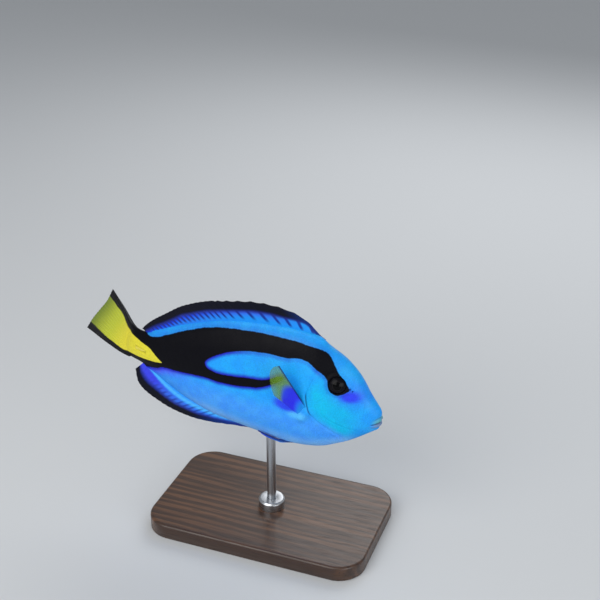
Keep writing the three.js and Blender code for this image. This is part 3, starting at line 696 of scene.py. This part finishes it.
def build_skin(material):
    s, angle = np.meshgrid(skin_stations(), skin_angles(), indexing="ij")
    points = body_point(s, angle)
    z = points[..., 2] / STANDARD_LENGTH
    height, crease = skin_relief(points, s, z)
    data = {
        "station": s,
        "height": (z - belly(s)) / (back(s) - belly(s)),
        "black": depth_inside(spline(BLACK_OUTLINE, closed=True), s, z),
        "yellow": yellow_depth(s, z),
        "cover": signed_distance(spline(GILL_EDGE), s, z),
        "crease": crease,
        "mouth": over_mouth(s, z),
    }
    for name, (middle_s, middle_z, half_s, half_z) in SPOTS.items():
        data[name] = np.hypot((s - middle_s) / half_s, (z - middle_z) / half_z)

    # The scales are laid out by the distance round each ring from the belly.
    arcs = np.linalg.norm(np.roll(points, -1, axis=1) - points, axis=-1)
    from_belly = np.cumsum(arcs, axis=1) - arcs
    from_belly = np.minimum(from_belly, arcs.sum(axis=1, keepdims=True) - from_belly)
    data["lay"] = stacked(s * STANDARD_LENGTH, from_belly, 0)

    # The rings close on a point at the nose and another inside the tail fin.
    points = points + grid_normals(points) * height[..., None]
    nose = np.array([NOSE_TIP, 0, widest_level(0) * STANDARD_LENGTH])
    end = np.array([-BODY_END * STANDARD_LENGTH - END_TIP, 0, 0])
    points = np.vstack([points.reshape(-1, 3), nose, end])
    for name, values in data.items():
        data[name] = np.concatenate([values.reshape(-1, *values.shape[2:]), values[:1, 0], values[-1:, 0]])
    replaced = ["head", "torso", "tail_stalk"]
    add_mesh("skin", place(points), skin_faces(*s.shape), material, replaced, data)


# Fins.
COLUMNS_PER_RAY = 12
RAY_WIDTH = 0.13
BRANCH_SPREAD = 0.2
JOINT_SPACING = 1.2
LEFTWARD = np.array([0.0, 1.0, 0.0])


def ray_grid(fin):
    """A fin's columns and rows from 0 to 1, the way past the nearest ray, whether that branches, and the
    rows' reach, which ends a little short between the rays."""
    rays = fin["rays"]
    first, last = fin["spines"]
    u = np.linspace(0, rays - 1, (rays - 1) * COLUMNS_PER_RAY + 1)[:, None]
    ray = np.round(u)
    phase = u - ray
    branched = ((ray >= first) & (ray < rays - last)).astype(float)
    r = np.linspace(0, 1, fin["rows"])[None, :]
    spine_notch, soft_notch, slope = fin["notch"]
    reach = r * (1 - mix(spine_notch, soft_notch, branched) * (1 - bump(phase, slope)))
    return u / (rays - 1), r, phase, branched, reach


def ribbed(fin, phase, r, branched, length_mm, rise=1.0):
    """The rays' height from 0 to 1, and half the fin's thickness. Soft rays fork and have fine joints."""
    spread = BRANCH_SPREAD * smoothstep(r, 0.45, 1) * branched
    width = RAY_WIDTH * mix(1, 0.6, r)
    crest = np.maximum(bump(phase - spread, width), bump(phase + spread, width)) * rise
    jointed = 1 - 0.16 * branched * (0.5 + 0.5 * np.cos(2 * np.pi * length_mm / JOINT_SPACING))
    root, edge = fin["thickness"]
    membrane = mix(root, edge, np.minimum(r * 1.25, 1)) / 2
    rounded = np.sqrt(np.clip((1.004 - r) / 0.03, 0, 1))
    return crest, membrane * mix(0.45, 1, rounded) + fin["ridge"] * (1 - 0.65 * r) * crest * jointed


def swayed(fin, s, z, t, reach):
    """The middle of an upright fin, which waves to and fro towards its edge."""
    sway, waves, start = fin["sway"]
    y = sway * reach**2 * np.sin(2 * np.pi * (waves * t + start))
    return stacked(-s * STANDARD_LENGTH, y, z * STANDARD_LENGTH)


def add_fin(name, middle, across, half, data, material):
    """A thin closed plate with its two faces and the rim between them."""
    columns, rows = half.shape
    offset = across * half[..., None]
    points = np.concatenate([(middle - offset).reshape(-1, 3), (middle + offset).reshape(-1, 3)])
    count = columns * rows
    face = grid_faces(columns, rows)
    first = np.arange(rows)
    ends = np.arange(1, columns) * rows + rows - 1
    last = (columns - 1) * rows + np.arange(rows - 2, -1, -1)
    roots = np.arange(columns - 2, 0, -1) * rows
    rim = np.concatenate([first, ends, last, roots])
    after = np.roll(rim, -1)
    band = stacked(rim, rim + count, after + count, after)
    quads = np.concatenate([face, face[:, ::-1] + count, band])
    corners = points[quads]
    edges = corners[:, 1] - corners[:, 0]
    volume = np.einsum("ij,ij->", corners[:, 0], np.cross(edges, corners[:, 2]))
    if volume < 0:
        quads = quads[:, ::-1]
    doubled = {key: np.concatenate([np.broadcast_to(v, half.shape).ravel()] * 2) for key, v in data.items()}
    add_mesh(name, place(points), quads.tolist(), material, [name], doubled)


def build_median_fin(name, fin, outline, upward, material):
    column, r, phase, branched, reach = ray_grid(fin)
    t = curve_through(fin["spacing"])(column)
    start, end, sunk = fin["root"]
    edge = curve_through(fin["edge"])
    s0 = mix(start, end, t)
    s1 = s0 + curve_through(fin["lean"])(t)
    z0 = outline(s0) - upward * sunk
    s, z = mix(s0, s1, reach), mix(z0, edge(s1), reach)
    length = np.abs(edge(s1) - z0) * STANDARD_LENGTH
    _, half = ribbed(fin, phase, r, branched, reach * length)
    step = 0.005
    slope = (edge(s + step) - edge(s - step)) / (2 * step)
    to_edge = (edge(s) - z) * upward * STANDARD_LENGTH / np.sqrt(1 + slope**2)
    over = (z - outline(s)) * upward * STANDARD_LENGTH
    data = {
        "along": t,
        "stripe": 1 - 2 * np.abs(phase),
        "over": over - curve_through(fin["clear"])(s),
        "margin": curve_through(fin["margin"])(s) - to_edge,
    }
    add_fin(name, swayed(fin, s, z, t, reach), LEFTWARD, half, data, material)


def build_caudal_fin(material):
    fin = CAUDAL_FIN
    t, r, phase, branched, reach = ray_grid(fin)
    edge_s = curve_through([(column, s) for column, s, _ in fin["edge"]])
    edge_z = curve_through([(column, z) for column, _, z in fin["edge"]])
    root_s, low, high = fin["root"]
    s = mix(root_s, edge_s(t), reach)
    z = mix(mix(low, high, t), edge_z(t), reach)
    crest, half = ribbed(fin, phase, r, branched, (s - root_s) * STANDARD_LENGTH)
    data = {"height": reach, "ray": crest, "yellow": yellow_depth(s, z)}
    add_fin("caudal_fin", swayed(fin, s, z, t, reach), LEFTWARD, half, data, material)


def build_pectoral_fin(name, side, material):
    """A fan from the leading to the trailing ray, which point back, outwards and up by three shares."""
    fin = PECTORAL_FIN
    t, r, phase, branched, reach = ray_grid(fin)
    first, last = (unit(np.array(fin[end]) * (-1, side, 1)) for end in ("leading", "trailing"))
    length = curve_through(fin["length"])(t) * STANDARD_LENGTH
    root_s, root_z = mix(*np.array(fin["root"]), t).T
    root = flank_point(root_s, root_z, side) - flank_normal(root_s, root_z, side) * fin["sunk"]
    middle = root[:, None] + unit(mix(first, last, t))[:, None] * (reach * length)[..., None]
    across = unit(np.cross(first, last))
    middle = middle + across * (fin["bow"] * np.sin(np.pi * t) * r**2)[..., None]
    crest, half = ribbed(fin, phase, r, branched, reach * length, smoothstep(r, 0.1, 0.35))
    data = {"along": t, "height": reach, "ray": crest}
    add_fin(name, middle, across, half, data, material)


def belly_level(s, distance):
    share = np.minimum(distance / half_width(s), 1)
    fall = np.sqrt(np.maximum(1 - share ** (2 / FLANK_ROUNDNESS), 0))
    return widest_level(s) - (widest_level(s) - belly(s)) * fall


def build_pelvic_fin(name, side, material):
    """Folded back along the belly. A ray's ends are given by station and distance from the middle."""
    fin = PELVIC_FIN
    t, r, phase, branched, reach = ray_grid(fin)
    root_s, root_out, end_s, end_out = (mix(*ends, t) for ends in zip(fin["outer"], fin["inner"]))
    s, distance = mix(root_s, end_s, reach), mix(root_out, end_out, reach)
    lift = mix(-fin["sunk"], fin["lift"], smoothstep(r, 0, fin["root_share"])) + fin["flare"] * r * r
    step = 0.003
    slope = (belly_level(s, distance + step) - belly_level(s, distance - step)) / (2 * step)
    across = unit(stacked(0, side * slope, -1))
    skin = stacked(-s, side * distance, belly_level(s, distance)) * STANDARD_LENGTH
    length = (fin["outer"][2] - fin["outer"][0]) * STANDARD_LENGTH
    crest, half = ribbed(fin, phase, r, branched, reach * length)
    data = {"along": t, "height": reach, "ray": crest}
    add_fin(name, skin + across * lift[..., None], across, half, data, material)


# Eyes and tail spines, made round +Z and stood on the flank.
def on_flank(points, s, z, side, lift):
    axis = Vector(flank_normal(s, z, side))
    turned = np.array(Vector((0, 0, 1)).rotation_difference(axis).to_matrix())
    return points @ turned.T + flank_point(s, z, side) + np.array(axis) * lift


EYE_SIDES = 64
EYE_RINGS = 40
EYE_BACK = 0.94 * np.pi
SPINE_SIDES = 20
SPINE_RINGS = 30


def build_eye(name, side, material):
    """The eyeball: a shallow dome with a slight bulge over the pupil and a groove inside its rim."""
    angles = np.linspace(0, 2 * np.pi, EYE_SIDES, endpoint=False)[:, None]
    turn = np.linspace(0, EYE_BACK, EYE_RINGS)[None, :]
    radius = EYE["radius"] * np.sin(turn)
    relief = 0.22 * bump(radius, 2.1) - 0.1 * bump(radius - 4.1, 0.35)
    height = EYE["depth"] * np.cos(turn) + relief * (turn < np.pi / 2)
    dome = stacked(radius * np.cos(angles), radius * np.sin(angles), height)
    points = on_flank(dome, EYE["s"], EYE["z"], side, -EYE["sunk"])
    faces = grid_faces(EYE_SIDES, EYE_RINGS, closed=True).tolist()
    data = {"radius": np.broadcast_to(radius, dome.shape[:2])}
    add_mesh(name, place(points), faces, material, [name], data)


def build_tail_spine(name, side, material):
    """The caudal spine: a flat curved lancet in its sheath with its point forward."""
    spine = TAIL_SPINE
    along = np.linspace(0.02, 1, SPINE_RINGS)[None, :]
    angles = np.linspace(0, 2 * np.pi, SPINE_SIDES, endpoint=False)[:, None]
    taper = np.sqrt(1 - along) * smoothstep(along, -0.12, 0.2) / 2
    y = spine["height"] * taper * np.sin(angles) - 0.35 * side * along**2 * (1 - along)
    z = spine["thickness"] * taper * np.cos(angles) + 0.25 * along**2
    lancet = stacked(spine["length"] * along, y, z)
    points = on_flank(lancet, spine["s"], spine["z"], side, -spine["sunk"])
    faces = grid_faces(SPINE_SIDES, SPINE_RINGS, closed=True).tolist()
    add_mesh(name, place(points), faces, material, [name])


# The stand.
CORNER_STEPS = 16
BEVEL_STEPS = 7
ROD_SIDES = 64
ROD_AXIS = 0.01


def turned_piece(name, corners, edge, steps, material, node_name, flat=False):
    """Revolves a closed outline of radius and height, with each corner rounded by an edge."""
    p = np.array(corners, float)
    rounded = []
    for before, corner, after in zip(np.roll(p, 1, axis=0), p, np.roll(p, -1, axis=0)):
        a = corner + unit(before - corner) * edge
        b = corner + unit(after - corner) * edge
        for t in np.linspace(0, 1, steps + 1):
            rounded.append((1 - t) ** 2 * a + 2 * t * (1 - t) * corner + t * t * b)
    rounded.append(rounded[0])
    angles = np.linspace(0, 2 * np.pi, ROD_SIDES, endpoint=False)[:, None]
    radius, height = np.array(rounded).T
    points = stacked(radius * np.cos(angles), radius * np.sin(angles), height)
    faces = grid_faces(ROD_SIDES, len(rounded), closed=True).tolist()
    add_mesh(name, points * MM, faces, material, [node_name], flat=flat)


def build_base(material):
    """A plate with round corners and a bevelled top edge. Its profile is levels and insets."""
    height, corner, bevel, edge = (BASE[key] for key in ("height", "corner", "bevel", "edge"))
    turn = (np.arange(4)[:, None, None] + np.linspace(0, 1, CORNER_STEPS + 1)[:, None]) * np.pi / 2
    quadrant = np.array([(1, 1), (-1, 1), (-1, -1), (1, -1)])[:, None, None]
    centre = quadrant * (np.array([BASE["length"], BASE["width"]]) / 2 - corner)
    slope = np.linspace(0, np.pi / 2, BEVEL_STEPS + 1)
    top = [(height - bevel + bevel * np.sin(a), bevel - bevel * np.cos(a)) for a in slope]
    level, inset = np.array([(0.0, edge), (edge, 0.0), *top, (height, bevel + edge)]).T
    x = centre[..., 0] + np.cos(turn) * (corner - inset)
    y = centre[..., 1] + np.sin(turn) * (corner - inset)
    columns, rows = 4 * (CORNER_STEPS + 1), len(level)
    faces = grid_faces(columns, rows, closed=True)[:, ::-1].tolist()
    faces.append([j * rows + rows - 1 for j in range(columns)])
    faces.append([j * rows for j in range(columns - 1, -1, -1)])
    add_mesh("display_base", stacked(x, y, level) * MM, faces, material, ["stand_base"])


def build_rod(material, collar_material):
    bottom = BASE["height"]
    radius = ROD["radius"]
    top = BELLY_HEIGHT + ROD["in_belly"]
    corners = [(ROD_AXIS, bottom), (radius, bottom), (radius, top), (ROD_AXIS, top)]
    turned_piece("steel_rod", corners, ROD["edge"], 1, material, "stand_rod", flat=True)
    inner = radius + COLLAR["clearance"]
    outer, bevel = COLLAR["radius"], COLLAR["bevel"]
    top = bottom + JOINT_GAP + COLLAR["height"]
    corners = [(inner, bottom), (outer, bottom), (outer, top - bevel), (outer - bevel, top), (inner, top)]
    turned_piece("rod_collar", corners, COLLAR["edge"], 3, collar_material, "stand_collar")


# Materials. Noise scales are cells per metre.
BROAD_NOISE = 160
FINE_NOISE = 900
BONE_NOISE = 1200
IRIS_NOISE = 2600
SCALES_PER_MM = 1.35
GLOSS = 0.24
GRAIN_STRETCH = (5.0, 60.0, 60.0)
PORE_STRETCH = (90.0, 1800.0, 1800.0)
ROD_STRETCH = (1600.0, 1600.0, 40.0)
COLLAR_STRETCH = (60.0, 60.0, 1600.0)


def put(value, socket):
    """Links a value to a node's input, or sets the input to a number, vector or screen colour."""
    if isinstance(value, Value):
        socket.id_data.links.new(value.socket, socket)
    else:
        socket.default_value = rgba(value) if socket.type == "RGBA" else value


class Value:
    """A node's output. Arithmetic and ramps on it add more nodes."""

    def __init__(self, shader, socket):
        self.shader = shader
        self.socket = socket

    def math(self, operation, other=0.0):
        return self.shader.node("ShaderNodeMath", {0: self, 1: other}, operation=operation)

    def __add__(self, other):
        return self.math("ADD", other)

    def __sub__(self, other):
        return self.math("SUBTRACT", other)

    def __mul__(self, other):
        return self.math("MULTIPLY", other)

    def __abs__(self):
        return self.math("ABSOLUTE")

    def wander(self, amount):
        """A noise as a shift to and fro."""
        return (self - 0.5) * amount

    def ramp(self, start, end, low=0.0, high=1.0):
        """Goes smoothly from low at start to high at end."""
        inputs = {"Value": self, 1: start, 2: end, 3: low, 4: high}
        return self.shader.node("ShaderNodeMapRange", inputs, interpolation_type="SMOOTHSTEP")


class Shader:
    """A node material whose colour is painted in layers."""

    def __init__(self, name, colour=None, **settings):
        self.colour = colour
        self.material = bpy.data.materials.new(name)
        self.material.use_nodes = True
        self.nodes = self.material.node_tree.nodes
        self.set(**settings)

    def set(self, **values):
        for name, value in values.items():
            put(value, self.nodes["Principled BSDF"].inputs[name.replace("_", " ")])

    def node(self, kind, inputs, output=0, **settings):
        made = self.nodes.new(kind)
        for key, value in settings.items():
            setattr(made, key, value)
        for key, value in inputs.items():
            put(value, made.inputs[key])
        return Value(self, made.outputs[output])

    def stored(self, *names, output="Fac"):
        """The values that the mesh holds under these names."""
        return [self.node("ShaderNodeAttribute", {}, output, attribute_name=name) for name in names]

    def place(self, stretch):
        where = self.node("ShaderNodeTexCoord", {}, "Object")
        return self.node("ShaderNodeMapping", {"Vector": where, "Scale": stretch})

    def noise(self, scale, detail=3.0, stretch=(1.0, 1.0, 1.0)):
        inputs = {"Vector": self.place(stretch), "Scale": scale, "Detail": detail}
        return self.node("ShaderNodeTexNoise", inputs, "Fac")

    def mixed(self, share, a, b, mode="MIX"):
        return self.node("ShaderNodeMix", {0: share, 6: a, 7: b}, 2, data_type="RGBA", blend_type=mode)

    def paint(self, colour, share, mode="MIX"):
        self.colour = self.mixed(share, self.colour, colour, mode)

    def finish(self, roughness, *bumps):
        """The material, with bumps that each have a height, a strength and a depth in millimetres."""
        normal = {}
        for height, strength, depth in bumps:
            inputs = {"Height": height, "Strength": strength, "Distance": depth * MM, **normal}
            normal = {"Normal": self.node("ShaderNodeBump", inputs)}
        self.set(Base_Color=self.colour, Roughness=roughness, **normal)
        return self.material


def skin_material():
    shader = Shader("tang_skin", BELLY_BLUE)
    station, height, black, yellow, cover = shader.stored("station", "height", "black", "yellow", "cover")
    crease, mouth, spot, patch, axil = shader.stored("crease", "mouth", "spot", "patch", "axil")
    drift, fine = shader.noise(BROAD_NOISE), shader.noise(FINE_NOISE)

    # The blues of the body and the head. Black, yellow, cover and mouth are in millimetres.
    shader.paint(AZURE, height.ramp(0.28, 0.5))
    # The low belly is paler: partly its own tone, partly painted light against the shade underneath.
    shader.paint(LOW_BELLY_PALE_AND_LIT, height.ramp(0.2, 0.03))
    shader.paint(REAR_BLUE, station.ramp(0.6, 0.8) * height.ramp(0.45, 0.3))
    shader.paint(REAR_VIOLET, black.ramp(-7, -0.5) * height.ramp(0.55, 0.4) * station.ramp(0.68, 0.84))
    shader.paint(BACK_STRIP, height.ramp(0.82, 0.9))
    head = cover.ramp(height.ramp(0.3, 0.5, -1, -4), height.ramp(0.3, 0.5, 4, 6)) * height.ramp(0.85, 0.6)
    shader.paint(CHEEK, head * height.ramp(0.04, 0.26))
    shader.paint(SNOUT, station.ramp(0.135, 0.05))
    # A painted highlight below the pectoral fin's root.
    shader.paint(PAINTED_HIGHLIGHT, patch.ramp(1.1, 0.3, 0, 0.8))
    # Painted shadow in violet on the body under the pectoral fin.
    shader.paint(VIOLET_SPOT_AND_FIN_SHADOW, axil.ramp(1.2, 0.5, 0, 0.95))
    shader.paint(SPOT_HALO, spot.ramp(3.4, 0.8, 0, 0.7))
    shader.paint(VIOLET_SPOT_AND_FIN_SHADOW, spot.ramp(1.7, 0.5))
    shader.paint(DEEP_BLUE, drift.ramp(0.35, 0.65, 0, 0.22), "SOFT_LIGHT")

    # The lips, and painted shade darkening the creases of the mouth, gill slit, nostrils and eye socket.
    near_mouth = station.ramp(0.034, 0.004)
    shader.paint(LIP_COLOUR, mouth.ramp(-3.4, -1.8) * mouth.ramp(0.4, -0.2) * near_mouth)
    shader.paint(LIP_EDGE, mouth.ramp(-0.2, 0.4) * mouth.ramp(4.2, 1.6) * near_mouth)
    shader.paint(CREASE_SHADE, crease.ramp(0.05, 1, 0, 0.85))

    # The markings, with slightly uneven edges.
    edge, wobble = black + drift.wander(0.8), fine.wander(0.5)
    fringe = edge.ramp(-2.8, -0.2) * height.ramp(0.76, 0.84, 1, 0.3)
    shader.paint(DEEP_BLUE, fringe * station.ramp(0.17, 0.24, 0.3, 1))
    dark = (edge + wobble).ramp(-0.35, 0.15)
    shader.paint(BLACK, dark)
    shader.paint(YELLOW, (yellow + drift.wander(0.6) + wobble).ramp(-0.1, 0.3))

    # The scales: each is a little darker towards its edge and its tone differs at random, and the creases
    # are darkened further as painted shade.
    [lay] = shader.stored("lay", output="Vector")
    cells = {"Vector": lay, "Scale": SCALES_PER_MM, "Randomness": 0.55}
    scales = shader.node("ShaderNodeTexVoronoi", cells, voronoi_dimensions="2D")
    tint = shader.node("ShaderNodeTexVoronoi", cells, "Color", voronoi_dimensions="2D")
    tint = shader.node("ShaderNodeSeparateColor", {0: tint})
    shade = scales.ramp(0.2, 0.62, 1, 0.9) * tint.ramp(0, 1, 0.95, 1.04) * crease.ramp(0.05, 1, 1, 0.5)
    grey = shader.node("ShaderNodeCombineColor", {0: shade, 1: shade, 2: shade})
    shader.paint(grey, 1.0, "MULTIPLY")
    shader.set(Specular_IOR_Level=dark.ramp(0, 1, GLOSS, 0.07) * height.ramp(0, 0.2, 0.3, 1))
    bumps = (fine, 0.25, 0.12), (scales.ramp(0, 0.7, 1, 0), 0.5, 0.09)
    return shader.finish(drift.ramp(0.3, 0.7, 0.34, 0.46), *bumps)


def ray_stripes(stripe, margin):
    """Soft dark stripes along the rays, up to the margin."""
    return stripe.ramp(0.8, 1.2) * margin.ramp(-6.5, -3)


def black_margin(shader, margin, black, start):
    """Ends a fin's colour in its dark margin, through navy from a start in millimetres before it."""
    drift, fine = shader.noise(BROAD_NOISE), shader.noise(FINE_NOISE)
    edge = margin + drift.wander(0.8)
    dark = edge.ramp(-0.7, 1.1)
    shader.paint(MARGIN_NAVY, edge.ramp(start, 0.1))
    shader.paint(black, dark)
    shader.set(Specular_IOR_Level=dark.ramp(0, 1, GLOSS, 0.12))
    return shader.finish(drift.ramp(0.3, 0.7, 0.36, 0.5), (fine, 0.3, 0.1))


def dorsal_material():
    """The back's blue at the root, then lavender in front and deep blue behind, striped by the rays."""
    shader = Shader("dorsal_membrane")
    along, over, margin, stripe = shader.stored("along", "over", "margin", "stripe")
    upper = shader.mixed(along.ramp(0.05, 0.3), FIN_ROOT, LAVENDER)
    upper = shader.mixed(along.ramp(0.35, 0.8), upper, FIN_BLUE)
    shader.colour = shader.mixed(along.ramp(0.3, 0.85), FIN_ROOT, FIN_REAR)
    shader.paint(upper, margin.ramp(-4.8, -0.6))
    striped = ray_stripes(stripe + along.ramp(0.4, 0.7, 0.3, 0.5), margin)
    shader.paint(STRIPE, striped * over.ramp(-0.8, 1.4, 0, 0.95))
    black = shader.mixed(along.ramp(0.02, 0.16), MARGIN_FRONT, MARGIN_BLACK)
    return black_margin(shader, margin, black, along.ramp(0.05, 0.3, -1, -2.2))


def anal_material():
    """The flank's blue, a pale streak, then deeper blue that ends in violet behind."""
    shader = Shader("anal_membrane")
    along, over, margin, stripe = shader.stored("along", "over", "margin", "stripe")
    shader.colour = shader.mixed(abs(over).ramp(2.4, 0.3), REAR_BLUE, STREAK)
    shader.paint(shader.mixed(along.ramp(0.6, 0.85), FIN_LOW, FIN_VIOLET), over.ramp(0.4, 3))
    middle = along.ramp(0.2, 0.35) * along.ramp(0.9, 0.7, 0, 0.6)
    shader.paint(STRIPE, ray_stripes(stripe + 0.4, margin) * middle)
    black = shader.mixed(along.ramp(0.1, 0.4), MARGIN_FRONT, MARGIN_BLACK)
    return black_margin(shader, margin, black, along.ramp(0.3, 0.6, -2, -3.6))


def caudal_material():
    shader = Shader("caudal_membrane", YELLOW, Specular_IOR_Level=GLOSS)
    height, ray, yellow = shader.stored("height", "ray", "yellow")
    drift, fine = shader.noise(BROAD_NOISE), shader.noise(FINE_NOISE)
    shader.paint(TAIL_GREEN, height.ramp(0.05, 0.6))
    shader.paint(TAIL_OLIVE, height.ramp(0.55, 1.05))
    shader.paint(TAIL_MEMBRANE, ray.ramp(0.5, 0.1) * height.ramp(0.2, 0.8, 0, 0.35))
    shader.paint(BLACK, (yellow + drift.wander(0.8)).ramp(0.35, -0.25))
    return shader.finish(drift.ramp(0.3, 0.7, 0.36, 0.5), (fine, 0.3, 0.1))


def pectoral_material():
    """Violet, then leaf green and half clear, with a dark leading ray."""
    shader = Shader("pectoral_membrane", AZURE, Specular_IOR_Level=GLOSS)
    height, along, ray = shader.stored("height", "along", "ray")
    fine = shader.noise(FINE_NOISE)
    shader.paint(PECTORAL_ROOT, height.ramp(0.1, 0.34))
    shader.paint(LEAF, (height + along * -0.16).ramp(0.48, 0.64))
    shader.paint(LEAF_RAY, ray.ramp(0.3, 0.8, 0, 0.3))
    leading = along.ramp(0.09, 0) * height.ramp(0.06, 0.2)
    shader.paint(LEADING_RAY, leading)
    clear = height.ramp(0.3, 0.6, 0.9, 0.6) * height.ramp(0.7, 1, 1, 0.6)
    shader.set(Alpha=clear.math("MAXIMUM", leading) * height.ramp(0.05, 0.26, 0.3, 1))
    return shader.finish(fine.ramp(0.3, 0.7, 0.35, 0.5), (fine, 0.3, 0.1))


def pelvic_material():
    shader = Shader("pelvic_membrane", BELLY_BLUE, Specular_IOR_Level=GLOSS)
    height, along, ray = shader.stored("height", "along", "ray")
    fine = shader.noise(FINE_NOISE)
    shader.paint(PELVIC_BLUE, height.ramp(0.3, 0.9))
    shader.paint(DEEP_BLUE, ray.ramp(0.3, 0.8, 0, 0.4))
    shader.paint(NAVY, along.ramp(0.05, 0.01, 0, 0.8))
    return shader.finish(fine.ramp(0.3, 0.7, 0.38, 0.5), (fine, 0.3, 0.1))


def eye_material():
    """Dark glass with a faint ring round the pupil."""
    shader = Shader("eye_glass", PUPIL, Specular_IOR_Level=0.07, Coat_Weight=0.03, Coat_Roughness=0.04)
    [radius] = shader.stored("radius")
    streaks = shader.noise(IRIS_NOISE)
    pupil = EYE["pupil"]
    iris = shader.mixed(streaks.ramp(0.35, 0.7), IRIS_DARK, IRIS_PALE)
    shader.paint(iris, radius.ramp(pupil - 0.05, pupil + 0.05))
    shader.paint(EYE_RING, abs(radius - (pupil + 0.12)).ramp(0.14, 0.05, 0, 0.3))
    shader.paint(EYE_RIM, radius.ramp(4.2, 4.6))
    return shader.finish(radius.ramp(2.2, 2.6, 0.05, 0.25), (streaks, 0.15, 0.05))


def spine_material():
    shader = Shader("spine_bone", Specular_IOR_Level=0.5)
    fine = shader.noise(BONE_NOISE)
    shader.colour = shader.mixed(fine.ramp(0.3, 0.7), BONE, BONE_SHADE)
    return shader.finish(fine.ramp(0.3, 0.7, 0.28, 0.4), (fine, 0.2, 0.08))


def wood_material():
    shader = Shader("dark_walnut", Specular_IOR_Level=0.45, Coat_Weight=0.25, Coat_Roughness=0.2)
    warp = shader.noise(1.6, 4, GRAIN_STRETCH)
    pores = shader.noise(1.0, 2, PORE_STRETCH)
    wave = {"Scale": 1.1, "Distortion": 7.0, "Detail": 3.0, "Detail Scale": 1.4}
    wave["Vector"] = shader.place(GRAIN_STRETCH)
    bands = shader.node("ShaderNodeTexWave", wave, "Fac", bands_direction="Y")
    shader.colour = shader.mixed(bands.ramp(0.1, 0.9), WALNUT, WALNUT_PALE)
    shader.paint(WALNUT_DARK, warp.ramp(0.35, 0.7, 0, 0.7))
    shader.paint(WALNUT_PORE, pores.ramp(0.56, 0.7, 0, 0.6))
    return shader.finish(pores.ramp(0.4, 0.7, 0.34, 0.5), (pores, 0.3, 0.15), (bands, 0.1, 0.1))


def steel_material(name, stretch):
    shader = Shader(name, Metallic=1.0)
    brushed = shader.noise(1.0, 2, stretch)
    shader.colour = shader.mixed(brushed.ramp(0.3, 0.7), STEEL, STEEL_SHADE)
    return shader.finish(brushed.ramp(0.3, 0.7, 0.24, 0.36), (brushed, 0.2, 0.02))


# The scene.
def show(name, data):
    made = bpy.data.objects.new(name, data)
    bpy.context.scene.collection.objects.link(made)
    return made


def add_camera():
    """The photograph's view: the fish's middle is seen at MIDDLE_PIXEL."""
    a, e = CAMERA_AZIMUTH, CAMERA_ELEVATION
    right = Vector((np.cos(a), np.sin(a), 0))
    up = Vector((-np.sin(a) * np.sin(e), np.cos(a) * np.sin(e), np.cos(e)))
    backward = right.cross(up)
    middle = Vector(place(np.array([-MIDDLE_STATION * STANDARD_LENGTH, 0, 0])))
    pixel = CAMERA_DISTANCE * MM / FOCAL_PIXELS
    across = (FRAME_PIXELS / 2 - MIDDLE_PIXEL[0]) * pixel
    above = (MIDDLE_PIXEL[1] - FRAME_PIXELS / 2) * pixel
    position = middle + backward * CAMERA_DISTANCE * MM + right * across + up * above
    camera = show("camera", bpy.data.cameras.new("camera"))
    camera.data.sensor_width = SENSOR_WIDTH
    camera.data.lens = SENSOR_WIDTH * FOCAL_PIXELS / FRAME_PIXELS
    camera.matrix_world = Matrix.Translation(position) @ Matrix((right, up, backward)).transposed().to_4x4()
    bpy.context.scene.camera = camera


def add_floor():
    mesh = bpy.data.meshes.new("floor")
    far = FLOOR_REACH
    mesh.from_pydata([(-far, -far, 0), (far, -far, 0), (far, far, 0), (-far, far, 0)], [], [(0, 1, 2, 3)])
    shader = Shader("pale_floor", Base_Color=FLOOR_GREY, Roughness=0.75, Specular_IOR_Level=0.2)
    mesh.materials.append(shader.material)
    show("floor", mesh)


def add_light():
    world = bpy.data.worlds.new("studio")
    world.use_nodes = True
    background = world.node_tree.nodes["Background"]
    background.inputs["Color"].default_value = WORLD_COLOUR
    background.inputs["Strength"].default_value = WORLD_STRENGTH
    bpy.context.scene.world = world
    bpy.context.scene.view_settings.view_transform = "Standard"
    for name, (position, size, power, colour) in SOFTBOXES.items():
        light = bpy.data.lights.new(name, "AREA")
        light.shape = "RECTANGLE"
        light.size, light.size_y = size
        light.energy = power
        light.color = colour
        lamp = show(name, light)
        lamp.location = position
        lamp.rotation_euler = (Vector(LIGHT_TARGET) - lamp.location).to_track_quat("-Z", "Y").to_euler()


add_camera()
add_floor()
add_light()

build_skin(skin_material())
build_median_fin("dorsal_fin", DORSAL_FIN, back, 1, dorsal_material())
build_median_fin("anal_fin", ANAL_FIN, belly, -1, anal_material())
build_caudal_fin(caudal_material())
pectoral, pelvic, eye, bone = pectoral_material(), pelvic_material(), eye_material(), spine_material()
for side_name, side in (("left", 1), ("right", -1)):
    build_pectoral_fin("pectoral_fin_" + side_name, side, pectoral)
    build_pelvic_fin("pelvic_fin_" + side_name, side, pelvic)
    build_eye("eye_" + side_name, side, eye)
    build_tail_spine("tail_spine_" + side_name, side, bone)
build_base(wood_material())
build_rod(steel_material("brushed_rod", ROD_STRETCH), steel_material("turned_collar", COLLAR_STRETCH))
